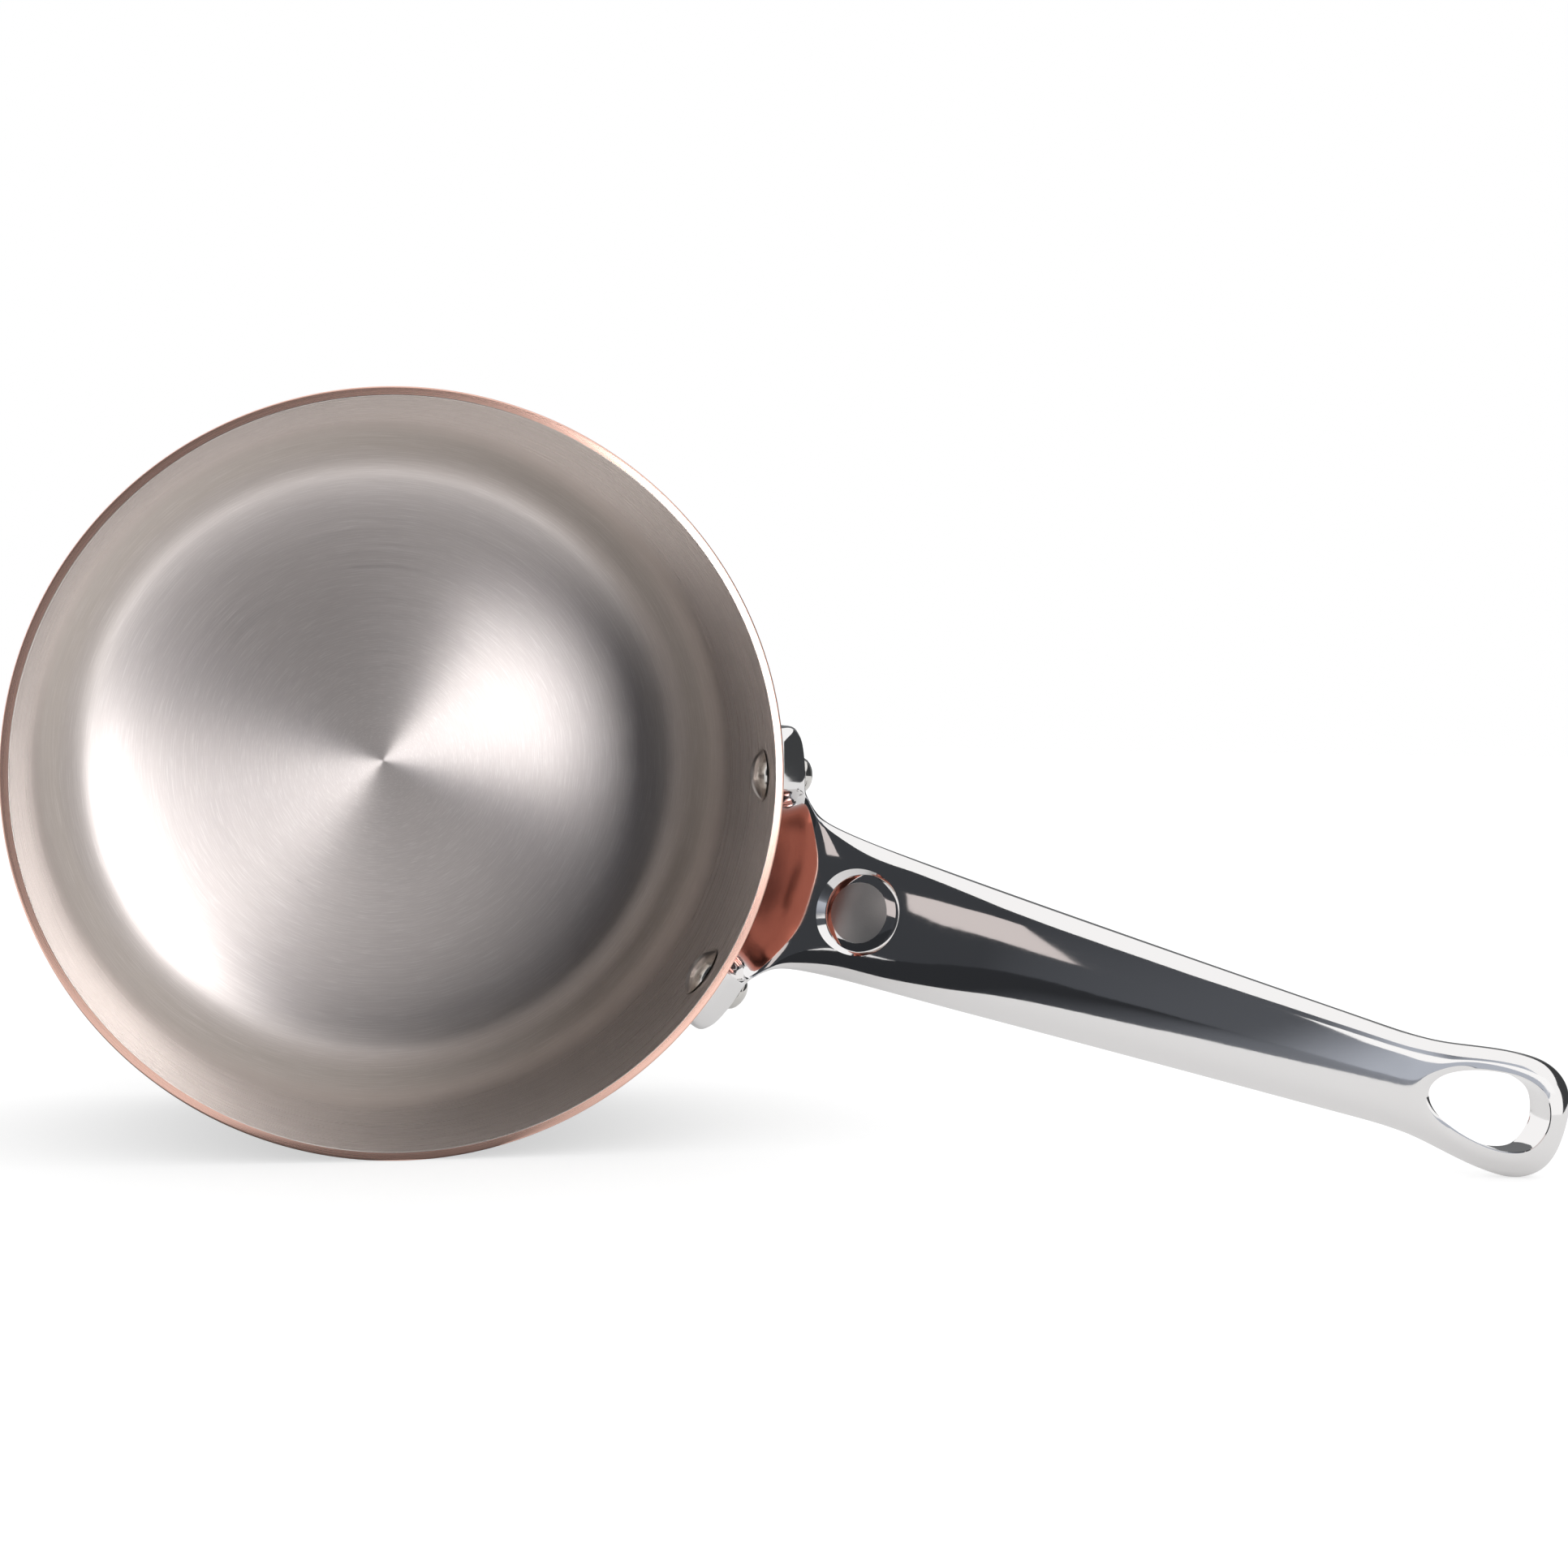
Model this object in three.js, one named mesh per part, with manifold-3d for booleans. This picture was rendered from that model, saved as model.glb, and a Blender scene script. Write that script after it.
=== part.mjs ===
// A saucepan of copper lined with stainless steel, with one long cast handle held by two rivets.
// Millimetres, +Z up. The origin is the middle of the base, and the handle points along +X.

import * as THREE from 'three';
import { mergeVertices } from 'three/addons/utils/BufferGeometryUtils.js';
import loadManifold from 'manifold-3d';

// Pot: one sheet of copper with a thin steel lining bonded to its inside.
const INNER_DIAMETER = 160;
const POT_HEIGHT = 90;
const COPPER_THICKNESS = 1.8;
const LINING_THICKNESS = 0.2;
const INNER_CORNER_RADIUS = 10.5;
const RIM_ROUNDING = 0.5;

// Handle: how far it reaches from the wall, and the slopes of its top line, as rise over run.
const HANDLE_REACH = 175.6;
const RAMP_FOOT_DEPTH = 18;
const RAMP_SLOPE = 0.966;
const RAMP_LENGTH = 20;
const BEND_LENGTH = 30;
const GRIP_SLOPE = 0.306;
const TIP_SLOPE = 0.185;

// Handle: half widths seen from above, from the flared root to the waist before the loop.
const ROOT_HALF_WIDTH = 22.5;
const THROAT_HALF_WIDTH = 17.5;
const NECK_HALF_WIDTH = 15.5;
const GRIP_HALF_WIDTH = 12.5;
const WAIST_HALF_WIDTH = 10.25;
const THROAT_DISTANCE = 8;
const NECK_DISTANCE = 22;

// Handle: the section's height over and under its widest line.
const ROOT_CROWN = 4;
const NECK_CROWN = 6;
const LOOP_CROWN = 4;
const ROOT_BELLY = 21;
const NECK_BELLY = 10.5;
const GRIP_BELLY = 6;
const LOOP_BELLY = 4;
const SCOOP_DEPTH = 11;
const SCOOP_LENGTH = 18;

// Hanging loop at the handle's end, and the egg-shaped hole through it.
const LOOP_LENGTH = 37.6;
const LOOP_HALF_WIDTH = 13.5;
const LOOP_END_LENGTH = 12.1;
const LOOP_END_WALL = 5.6;
const HOLE_LENGTH = 25;
const HOLE_HALF_WIDTH = 8;
const HOLE_TAPER = 0.27;
const HOLE_EDGE_ROUNDING = 1.4;

// Round flat spot with a ring groove, sunk in the neck of the handle.
const SPOT_DISTANCE = 21;
const SPOT_RADIUS = 6.8;
const SPOT_DEPTH = 0.5;
const GROOVE_OUTER_RADIUS = 10.2;
const GROOVE_DEPTH = 1.3;

// Flange: the curved plate of the handle that hugs the wall.
const FLANGE_THICKNESS = 6.8;
const FLANGE_HALF_ANGLE = THREE.MathUtils.degToRad(24.3);
const FLANGE_HALF_HEIGHT = 8.2;
const FLANGE_EDGE_ROUNDING = 2.6;

// Rivets: one in each ear of the flange.
const RIVET_ANGLE = THREE.MathUtils.degToRad(16.8);
const RIVET_DEPTH_BELOW_RIM = 12.5;
const RIVET_SHANK_RADIUS = 3;
const RIVET_INNER_HEAD_RADIUS = 6;
const RIVET_INNER_HEAD_HEIGHT = 2.2;
const RIVET_OUTER_HEAD_RADIUS = 4;
const RIVET_OUTER_HEAD_HEIGHT = 1.6;

// Clearances between pieces.
const FLANGE_CLEARANCE = 0.3;
const RIVET_CLEARANCE = 0.3;

// Fineness of the facets.
const POT_SEGMENTS = 72;
const CORNER_STEPS = 7;
const RIM_STEPS = 3;
const SECTION_POINTS = 28;
const GRIP_STEPS = 26;
const LOOP_STEPS = 12;
const FLANGE_STEPS = 20;
const FILLET_STEPS = 3;
const ROUND_SEGMENTS = 24;
const DOME_STEPS = 5;
const EGG_POINTS = 36;

// How square the handle's section and its rounded outlines are: 2 is an ellipse.
const SECTION_SQUARENESS_ACROSS = 2.6;
const SECTION_SQUARENESS_UP = 2.2;
const LOOP_END_SQUARENESS = 2.2;
const EGG_SQUARENESS = 2.5;
const EAR_SQUARENESS = 10;

const MERGE_DISTANCE = 1e-4;

// Sizes that follow from the driving dimensions.
const liningRadius = INNER_DIAMETER / 2;
const bondRadius = liningRadius + LINING_THICKNESS;
const wallRadius = bondRadius + COPPER_THICKNESS;
const wallThickness = COPPER_THICKNESS + LINING_THICKNESS;
const seatRadius = wallRadius + FLANGE_CLEARANCE;
const tipDistance = HANDLE_REACH;
const waistDistance = HANDLE_REACH - LOOP_LENGTH;
const loopWidestDistance = HANDLE_REACH - LOOP_END_LENGTH;
const bendDistance = RAMP_LENGTH + BEND_LENGTH;
const gripDistance = (NECK_DISTANCE + waistDistance) / 2;
const rivetHeight = POT_HEIGHT - RIVET_DEPTH_BELOW_RIM;

const wasm = await loadManifold();
wasm.setup();

// Turn a closed geometry into a solid that can be joined and cut.
function toSolid(geometry) {
  const bare = new THREE.BufferGeometry();
  bare.setAttribute('position', geometry.getAttribute('position').clone());
  bare.setIndex(geometry.getIndex());
  const merged = mergeVertices(bare, MERGE_DISTANCE);
  const index = merged.getIndex().array;
  const triangles = [];
  for (let i = 0; i < index.length; i += 3) {
    const corners = [index[i], index[i + 1], index[i + 2]];
    if (new Set(corners).size === 3) triangles.push(...corners);
  }
  return new wasm.Manifold(new wasm.Mesh({
    numProp: 3,
    vertProperties: new Float32Array(merged.getAttribute('position').array),
    triVerts: new Uint32Array(triangles),
  }));
}

// Turn a solid back into a geometry.
function toGeometry(solid) {
  const { vertProperties, triVerts } = solid.getMesh();
  const geometry = new THREE.BufferGeometry();
  geometry.setAttribute('position', new THREE.BufferAttribute(new Float32Array(vertProperties), 3));
  geometry.setIndex(new THREE.BufferAttribute(new Uint32Array(triVerts), 1));
  geometry.computeVertexNormals();
  return geometry;
}

// Skin a row of rings of equal length; a ring of one point closes the end, a longer one gets a flat cap.
function loftRings(rings) {
  const positions = [];
  const index = [];
  const starts = rings.map((ring) => {
    const start = positions.length / 3;
    ring.forEach((point) => positions.push(...point.toArray()));
    return start;
  });
  for (let r = 0; r + 1 < rings.length; r += 1) {
    const here = rings[r].length;
    const next = rings[r + 1].length;
    const count = Math.max(here, next);
    for (let k = 0; k < count; k += 1) {
      const a = starts[r] + (k % here);
      const b = starts[r] + ((k + 1) % here);
      const c = starts[r + 1] + ((k + 1) % next);
      const d = starts[r + 1] + (k % next);
      if (here > 1) index.push(a, b, c);
      if (next > 1) index.push(a, c, d);
    }
  }
  const last = rings.length - 1;
  for (let k = 1; k + 1 < rings[0].length; k += 1) {
    index.push(starts[0], starts[0] + k + 1, starts[0] + k);
  }
  for (let k = 1; k + 1 < rings[last].length; k += 1) {
    index.push(starts[last], starts[last] + k, starts[last] + k + 1);
  }
  const geometry = new THREE.BufferGeometry();
  geometry.setAttribute('position', new THREE.Float32BufferAttribute(positions, 3));
  geometry.setIndex(index);
  return geometry;
}

// A lathe about Z instead of Y.
function latheAboutZ(profile, segments) {
  return new THREE.LatheGeometry(profile, segments).rotateX(Math.PI / 2);
}

// Points of a circular arc in the plane of a profile.
function arc(centreX, centreY, radius, fromAngle, toAngle, steps) {
  return Array.from({ length: steps + 1 }, (_, k) => {
    const angle = THREE.MathUtils.lerp(fromAngle, toAngle, k / steps);
    return new THREE.Vector2(centreX + radius * Math.cos(angle), centreY + radius * Math.sin(angle));
  });
}

// A smooth curve through a few knots that never overshoots them: each knot is [place, value].
function smoothThrough(knots) {
  const secants = knots.slice(1).map(([x, y], k) => (y - knots[k][1]) / (x - knots[k][0]));
  const tangents = knots.map((_, k) => {
    const before = secants[k - 1] ?? secants[0];
    const after = secants[k] ?? secants[secants.length - 1];
    return before * after > 0 ? (2 * before * after) / (before + after) : 0;
  });
  return (place) => {
    const last = knots.length - 2;
    const found = knots.findIndex(([x], k) => k > 0 && place <= x) - 1;
    const k = found < 0 ? (place < knots[0][0] ? 0 : last) : found;
    const [x0, y0] = knots[k];
    const [x1, y1] = knots[k + 1];
    const width = x1 - x0;
    const t = THREE.MathUtils.clamp((place - x0) / width, 0, 1);
    const rise = y1 - y0;
    const cubic = width * (tangents[k] + tangents[k + 1]) - 2 * rise;
    const square = 3 * rise - width * (2 * tangents[k] + tangents[k + 1]);
    return y0 + t * (width * tangents[k] + t * (square + t * cubic));
  };
}

// The outside of the pot at a given inset: base, rounded corner and wall, from the axis up to the rim.
function potSkin(radius, baseHeight, cornerRadius) {
  const bottom = -Math.PI / 2;
  const corner = arc(radius - cornerRadius, baseHeight + cornerRadius, cornerRadius, bottom, 0, CORNER_STEPS);
  return [new THREE.Vector2(0, baseHeight), ...corner];
}

const outerSkin = potSkin(wallRadius, 0, INNER_CORNER_RADIUS + wallThickness);
const bondSkin = potSkin(bondRadius, COPPER_THICKNESS, INNER_CORNER_RADIUS + LINING_THICKNESS);
const liningSkin = potSkin(liningRadius, wallThickness, INNER_CORNER_RADIUS);

// The copper's rim is rounded on the outside; the lining ends flush with it.
const outerRim = arc(wallRadius - RIM_ROUNDING, POT_HEIGHT - RIM_ROUNDING, RIM_ROUNDING, 0, Math.PI / 2, RIM_STEPS);
const bondRim = new THREE.Vector2(bondRadius, POT_HEIGHT);
const liningRim = new THREE.Vector2(liningRadius, POT_HEIGHT);

// A rivet's profile along its own axis, from the dome inside the pot to the head on the flange.
function rivetProfile() {
  const insideSeat = liningRadius * Math.cos(Math.asin(RIVET_INNER_HEAD_RADIUS / liningRadius)) - RIVET_CLEARANCE;
  const facetSag = liningRadius * (1 - Math.cos(Math.PI / POT_SEGMENTS));
  const seatIn = insideSeat - facetSag;
  const seatOut = seatRadius + FLANGE_THICKNESS + RIVET_CLEARANCE;
  const quarter = Math.PI / 2;
  const dome = (radius, height, seat, from, to) => arc(0, 0, 1, from, to, DOME_STEPS)
    .map((point) => new THREE.Vector2(Math.max(0, point.x) * radius, seat + point.y * height));
  return [
    ...dome(RIVET_INNER_HEAD_RADIUS, RIVET_INNER_HEAD_HEIGHT, seatIn, -quarter, 0),
    new THREE.Vector2(RIVET_SHANK_RADIUS, seatIn),
    new THREE.Vector2(RIVET_SHANK_RADIUS, seatOut),
    ...dome(RIVET_OUTER_HEAD_RADIUS, RIVET_OUTER_HEAD_HEIGHT, seatOut, 0, quarter),
  ];
}

// The drill that clears both rivets through lining, copper and flange.
function rivetDrill(angle) {
  const radius = RIVET_SHANK_RADIUS + RIVET_CLEARANCE;
  const from = liningRadius - INNER_CORNER_RADIUS;
  const to = seatRadius + 2 * FLANGE_THICKNESS;
  const drill = new THREE.CylinderGeometry(radius, radius, to - from, ROUND_SEGMENTS);
  drill.translate(0, (from + to) / 2, 0).rotateZ(angle - Math.PI / 2).translate(0, 0, rivetHeight);
  return toSolid(drill);
}

// Slope and height of the handle's top line: a straight ramp, a bend, then a grip that flattens slowly.
const slopeKnots = [
  [0, RAMP_SLOPE],
  [RAMP_LENGTH, RAMP_SLOPE],
  [bendDistance, GRIP_SLOPE],
  [tipDistance, TIP_SLOPE],
];

function topLine(distance) {
  let height = POT_HEIGHT - RAMP_FOOT_DEPTH + Math.min(0, distance) * RAMP_SLOPE;
  slopeKnots.slice(1).forEach(([end, endSlope], k) => {
    const [start, startSlope] = slopeKnots[k];
    const run = THREE.MathUtils.clamp(distance - start, 0, end - start);
    const slopeHere = THREE.MathUtils.lerp(startSlope, endSlope, run / (end - start));
    height += (run * (startSlope + slopeHere)) / 2;
  });
  return height;
}

function topSlope(distance) {
  const step = 0.01;
  return (topLine(distance + step) - topLine(distance - step)) / (2 * step);
}

const gripHalfWidth = smoothThrough([
  [-FLANGE_CLEARANCE - wallThickness, ROOT_HALF_WIDTH],
  [THROAT_DISTANCE, THROAT_HALF_WIDTH],
  [NECK_DISTANCE, NECK_HALF_WIDTH],
  [gripDistance, GRIP_HALF_WIDTH],
  [waistDistance, WAIST_HALF_WIDTH],
]);

// Half width from above: the grip narrows to a waist, swells to the loop and ends in a round nose.
function halfWidth(distance) {
  if (distance <= waistDistance) return gripHalfWidth(distance);
  if (distance <= loopWidestDistance) {
    const swell = (distance - waistDistance) / (loopWidestDistance - waistDistance);
    return THREE.MathUtils.lerp(WAIST_HALF_WIDTH, LOOP_HALF_WIDTH, Math.sin((swell * Math.PI) / 2) ** 2);
  }
  const along = Math.min(1, (distance - loopWidestDistance) / LOOP_END_LENGTH);
  return LOOP_HALF_WIDTH * (1 - along ** LOOP_END_SQUARENESS) ** (1 / LOOP_END_SQUARENESS);
}

const crownHeight = smoothThrough([
  [0, ROOT_CROWN],
  [NECK_DISTANCE, NECK_CROWN],
  [waistDistance, LOOP_CROWN],
]);

const bellyDepth = smoothThrough([
  [0, ROOT_BELLY],
  [NECK_DISTANCE, NECK_BELLY],
  [gripDistance, GRIP_BELLY],
  [waistDistance, LOOP_BELLY],
]);

// The nose is rounded in side view as well, over a length equal to the crown.
function noseFactor(distance) {
  const into = Math.max(0, distance - (tipDistance - LOOP_CROWN)) / LOOP_CROWN;
  return Math.sqrt(Math.max(0, 1 - into * into));
}

// The root's top is scooped out between two ridges that run from the ears to the handle's edges.
function scoopDepth(distance) {
  const along = THREE.MathUtils.clamp(distance / SCOOP_LENGTH, 0, 1);
  return SCOOP_DEPTH * (1 - THREE.MathUtils.smoothstep(along, 0, 1));
}

// One ring of the handle, upright across its length.
function handleRing(distance) {
  const width = halfWidth(distance);
  const nose = noseFactor(distance);
  const crown = crownHeight(distance);
  const scoop = scoopDepth(distance);
  const widestLine = topLine(distance) - crown + scoop;
  return Array.from({ length: SECTION_POINTS }, (_, k) => {
    const angle = (2 * Math.PI * k) / SECTION_POINTS;
    const across = Math.sign(Math.cos(angle)) * Math.abs(Math.cos(angle)) ** (2 / SECTION_SQUARENESS_ACROSS);
    const up = Math.abs(Math.sin(angle)) ** (2 / SECTION_SQUARENESS_UP);
    const over = crown * up - scoop * (1 - across * across);
    const under = -bellyDepth(distance) * up;
    const height = widestLine + nose * (Math.sin(angle) >= 0 ? over : under);
    return new THREE.Vector3(wallRadius + distance, across * width, height);
  });
}

function handleBar() {
  const gripStart = -2 * wallThickness;
  const distances = [];
  for (let k = 0; k < GRIP_STEPS; k += 1) {
    const share = k / GRIP_STEPS;
    distances.push(THREE.MathUtils.lerp(gripStart, waistDistance, share ** 1.5));
  }
  for (let k = 0; k < LOOP_STEPS / 2; k += 1) {
    distances.push(THREE.MathUtils.lerp(waistDistance, loopWidestDistance, (2 * k) / LOOP_STEPS));
  }
  for (let k = 0; k < LOOP_STEPS; k += 1) {
    distances.push(loopWidestDistance + LOOP_END_LENGTH * Math.sin((k / LOOP_STEPS) * (Math.PI / 2)));
  }
  const tip = new THREE.Vector3(wallRadius + tipDistance, 0, topLine(tipDistance) - LOOP_CROWN);
  return toSolid(loftRings([...distances.map(handleRing), [tip]]));
}

// One section of the flange, standing on the wall at an angle round the pot.
function flangeRing(share) {
  const angle = share * FLANGE_HALF_ANGLE;
  const taper = (1 - Math.abs(share) ** EAR_SQUARENESS) ** (1 / 2);
  const halfHeight = FLANGE_HALF_HEIGHT * taper;
  const outer = seatRadius + FLANGE_THICKNESS * taper;
  const inner = liningRadius - wallThickness;
  const rounding = Math.min(FLANGE_EDGE_ROUNDING, halfHeight / 2, (outer - seatRadius) / 2);
  const quarter = Math.PI / 2;
  const lower = rivetHeight - halfHeight;
  const upper = rivetHeight + halfHeight;
  const outline = [
    new THREE.Vector2(inner, lower),
    ...arc(outer - rounding, lower + rounding, rounding, -quarter, 0, FILLET_STEPS),
    ...arc(outer - rounding, upper - rounding, rounding, 0, quarter, FILLET_STEPS),
    new THREE.Vector2(inner, upper),
  ];
  return outline.map((p) => new THREE.Vector3(p.x * Math.cos(angle), p.x * Math.sin(angle), p.y));
}

function flange() {
  const nearlyWhole = 0.985;
  const rings = Array.from({ length: FLANGE_STEPS + 1 }, (_, k) => {
    const turn = THREE.MathUtils.lerp(Math.PI / 2, -Math.PI / 2, k / FLANGE_STEPS);
    return flangeRing(nearlyWhole * Math.sin(turn));
  });
  return toSolid(loftRings(rings));
}

// The space that the pot's wall takes out of the flange.
function wallCutter() {
  const below = -POT_HEIGHT;
  const above = 2 * POT_HEIGHT;
  return toSolid(latheAboutZ([
    new THREE.Vector2(0, below),
    new THREE.Vector2(seatRadius, below),
    new THREE.Vector2(seatRadius, above),
    new THREE.Vector2(0, above),
  ], POT_SEGMENTS));
}

// A ring of the egg-shaped hole, widened by an offset, at a height over the loop's middle line.
function eggRing(offset, height) {
  const farEnd = tipDistance - LOOP_END_WALL;
  const middle = farEnd - HOLE_LENGTH / 2;
  const slope = topSlope(middle);
  const middleLine = topLine(middle) - LOOP_CROWN;
  return Array.from({ length: EGG_POINTS }, (_, k) => {
    const angle = (2 * Math.PI * k) / EGG_POINTS;
    const along = Math.cos(angle);
    const round = Math.sqrt(Math.max(0, 1 - Math.abs(along) ** EGG_SQUARENESS));
    const across = Math.sign(Math.sin(angle)) * round * (1 + HOLE_TAPER * along);
    const x = along * (HOLE_LENGTH / 2 + offset);
    const y = across * (HOLE_HALF_WIDTH + offset);
    return new THREE.Vector3(wallRadius + middle + x - slope * height, y, middleLine + slope * x + height);
  });
}

function holeCutter() {
  const straight = LOOP_CROWN - HOLE_EDGE_ROUNDING;
  const clear = 2 * LOOP_CROWN;
  return toSolid(loftRings([
    eggRing(clear - straight, -clear),
    eggRing(0, -straight),
    eggRing(0, straight),
    eggRing(clear - straight, clear),
  ]));
}

// The round spot and its ring groove, cut square to the neck's top.
function spotCutter() {
  const clear = 3 * NECK_CROWN;
  const cutter = latheAboutZ([
    new THREE.Vector2(0, -SPOT_DEPTH),
    new THREE.Vector2(SPOT_RADIUS, -SPOT_DEPTH),
    new THREE.Vector2(SPOT_RADIUS, -GROOVE_DEPTH),
    new THREE.Vector2(GROOVE_OUTER_RADIUS, -GROOVE_DEPTH),
    new THREE.Vector2(GROOVE_OUTER_RADIUS, clear),
    new THREE.Vector2(0, clear),
  ], 2 * ROUND_SEGMENTS);
  cutter.rotateY(-Math.atan(topSlope(SPOT_DISTANCE)));
  cutter.translate(wallRadius + SPOT_DISTANCE, 0, topLine(SPOT_DISTANCE));
  return toSolid(cutter);
}

const copper = new THREE.MeshStandardMaterial({ color: 0xc8876b, roughness: 0.3, metalness: 1 });
const brushedSteel = new THREE.MeshStandardMaterial({ color: 0xb3aca4, roughness: 0.35, metalness: 1 });
const polishedSteel = new THREE.MeshStandardMaterial({ color: 0xc9c8ca, roughness: 0.08, metalness: 1 });
const rivetSteel = new THREE.MeshStandardMaterial({ color: 0xa9a6a2, roughness: 0.25, metalness: 1 });

const saucepan = new THREE.Group();
const drills = [RIVET_ANGLE, -RIVET_ANGLE].map(rivetDrill);

function addPiece(name, solid, material) {
  const piece = new THREE.Mesh(toGeometry(solid), material);
  piece.name = name;
  saucepan.add(piece);
}

function drilled(solid) {
  return drills.reduce((left, drill) => left.subtract(drill), solid);
}

const copperProfile = [...outerSkin, ...outerRim, bondRim, ...bondSkin.toReversed()];
addPiece('copper_body', drilled(toSolid(latheAboutZ(copperProfile, POT_SEGMENTS))), copper);

const liningProfile = [...bondSkin, bondRim, liningRim, ...liningSkin.toReversed()];
addPiece('steel_lining', drilled(toSolid(latheAboutZ(liningProfile, POT_SEGMENTS))), brushedSteel);

const casting = handleBar().add(flange()).subtract(wallCutter()).subtract(holeCutter()).subtract(spotCutter());
addPiece('handle', drilled(casting), polishedSteel);

[['rivet_left', RIVET_ANGLE], ['rivet_right', -RIVET_ANGLE]].forEach(([name, angle]) => {
  const rivet = new THREE.Mesh(new THREE.LatheGeometry(rivetProfile(), ROUND_SEGMENTS), rivetSteel);
  rivet.name = name;
  rivet.rotation.z = angle - Math.PI / 2;
  rivet.position.z = rivetHeight;
  saucepan.add(rivet);
});

export default saucepan;
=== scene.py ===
# %% [markdown]
# # A lined copper saucepan
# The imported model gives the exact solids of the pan. This lesson rebuilds them as smooth meshes that can take
# a polish, and gives each metal its own finish. All lengths are in metres, in the frame of the solids: the
# pan stands upright on z = 0, its axis is Z, and the handle points along +X.

# %% The solids as a frame
import math

import bmesh
import bpy
import numpy as np
from mathutils import Matrix, Vector


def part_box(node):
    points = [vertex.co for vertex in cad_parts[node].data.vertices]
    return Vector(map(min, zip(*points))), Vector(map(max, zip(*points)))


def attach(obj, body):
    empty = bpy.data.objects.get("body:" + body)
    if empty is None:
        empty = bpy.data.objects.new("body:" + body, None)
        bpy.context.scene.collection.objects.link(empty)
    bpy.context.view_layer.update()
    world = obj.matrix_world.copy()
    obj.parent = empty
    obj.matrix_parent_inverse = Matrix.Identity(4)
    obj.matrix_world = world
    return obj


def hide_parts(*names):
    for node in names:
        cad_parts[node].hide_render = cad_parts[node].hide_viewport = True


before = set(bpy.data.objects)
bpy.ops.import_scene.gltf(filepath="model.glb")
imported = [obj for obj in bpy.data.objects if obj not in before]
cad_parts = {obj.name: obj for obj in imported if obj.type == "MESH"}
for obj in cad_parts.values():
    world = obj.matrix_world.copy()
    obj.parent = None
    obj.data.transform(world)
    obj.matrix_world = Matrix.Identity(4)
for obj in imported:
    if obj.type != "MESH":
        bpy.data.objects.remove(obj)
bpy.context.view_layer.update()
MM = 0.001
print("solids:", sorted(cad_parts))

# %% [markdown]
# ## Working by hand, in code
# Every piece below starts as a primitive and is shaped in edit mode. An operator acts on whatever is
# selected, so two small helpers do what a hand does with the mouse: start a piece with nothing else
# selected, and pick vertices, edges or faces by where they are.

# %% Helpers for picking
def start(name, add_primitive, **settings):
    """Adds a primitive as a new piece and opens it in edit mode."""
    bpy.ops.object.select_all(action="DESELECT")
    add_primitive(**settings)
    piece = bpy.context.object
    piece.name = name
    piece.data.name = name
    bpy.ops.object.transform_apply(location=True, rotation=True, scale=True)
    bpy.ops.object.mode_set(mode="EDIT")
    return piece


def close_edit():
    """Leaves edit mode."""
    bpy.ops.object.mode_set(mode="OBJECT")


def pick(piece, kind, test):
    """Selects the vertices, edges or faces that pass a test, and nothing else. Returns how many."""
    bpy.ops.mesh.select_mode(type=kind)
    bpy.ops.mesh.select_all(action="DESELECT")
    mesh = bmesh.from_edit_mesh(piece.data)
    elements = {"VERT": mesh.verts, "EDGE": mesh.edges, "FACE": mesh.faces}[kind]
    chosen = [element for element in elements if test(element)]
    for element in chosen:
        element.select_set(True)
    mesh.select_flush_mode()
    bmesh.update_edit_mesh(piece.data)
    return len(chosen)


print("meshes that came with the solids:", len(bpy.data.meshes))

# %% [markdown]
# ## Tests and finishing touches
# What is picked is told by a few plain tests: whether a face looks up, where the middle of an edge is, and
# whether an edge lies on a circle about the axis. Three jobs then come back with every piece: a modifier is
# applied, picked edges are rounded, and the shading is smoothed. Edges sharper than a given angle stay crisp.

# %% Helpers for shaping
LEVEL = 0.9
ON_CIRCLE = 0.05 * MM
ROUND_PROFILE = 0.5
ROUND_STEPS = 4


def faces_up(face):
    """Whether a face looks straight up."""
    return face.normal.z > LEVEL


def middle(edge):
    """The middle of an edge."""
    return (edge.verts[0].co + edge.verts[1].co) / 2


def from_axis(point):
    """How far a point is from the Z axis."""
    return math.hypot(point.x, point.y)


def on_circle(edge, radius):
    """Whether an edge is part of a circle about the Z axis."""
    return all(abs(from_axis(vertex.co) - radius) < ON_CIRCLE for vertex in edge.verts)


def round_edges(radius, steps=ROUND_STEPS):
    """Rounds the picked edges."""
    bpy.ops.mesh.bevel(offset=radius, offset_type="OFFSET", segments=steps, profile=ROUND_PROFILE)


def take_up(piece):
    """Makes a piece the only selected one, and the active one."""
    bpy.ops.object.select_all(action="DESELECT")
    piece.select_set(True)
    bpy.context.view_layer.objects.active = piece


def apply_modifier(piece, kind, **settings):
    """Adds a modifier with these settings and applies it."""
    take_up(piece)
    modifier = piece.modifiers.new(kind.title(), kind)
    for name, value in settings.items():
        setattr(modifier, name, value)
    bpy.ops.object.modifier_apply(modifier=modifier.name)


def smooth(piece, degrees):
    """Shades a piece smooth, and keeps edges sharper than this angle crisp."""
    take_up(piece)
    bpy.ops.object.shade_smooth_by_angle(angle=math.radians(degrees))


print("a face looks up within", round(math.degrees(math.acos(LEVEL))), "degrees")

# %% [markdown]
# ## Copper body
# The body is one disc of copper sheet, drawn and spun into a straight wall with a rounded foot. A lathe
# profile would do, and so would a cylinder whose foot is rounded with a bevel and which is then given the
# sheet's thickness. The second way is how the real sheet behaves, so it is used here, and the sizes are
# read from the solids.

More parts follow.
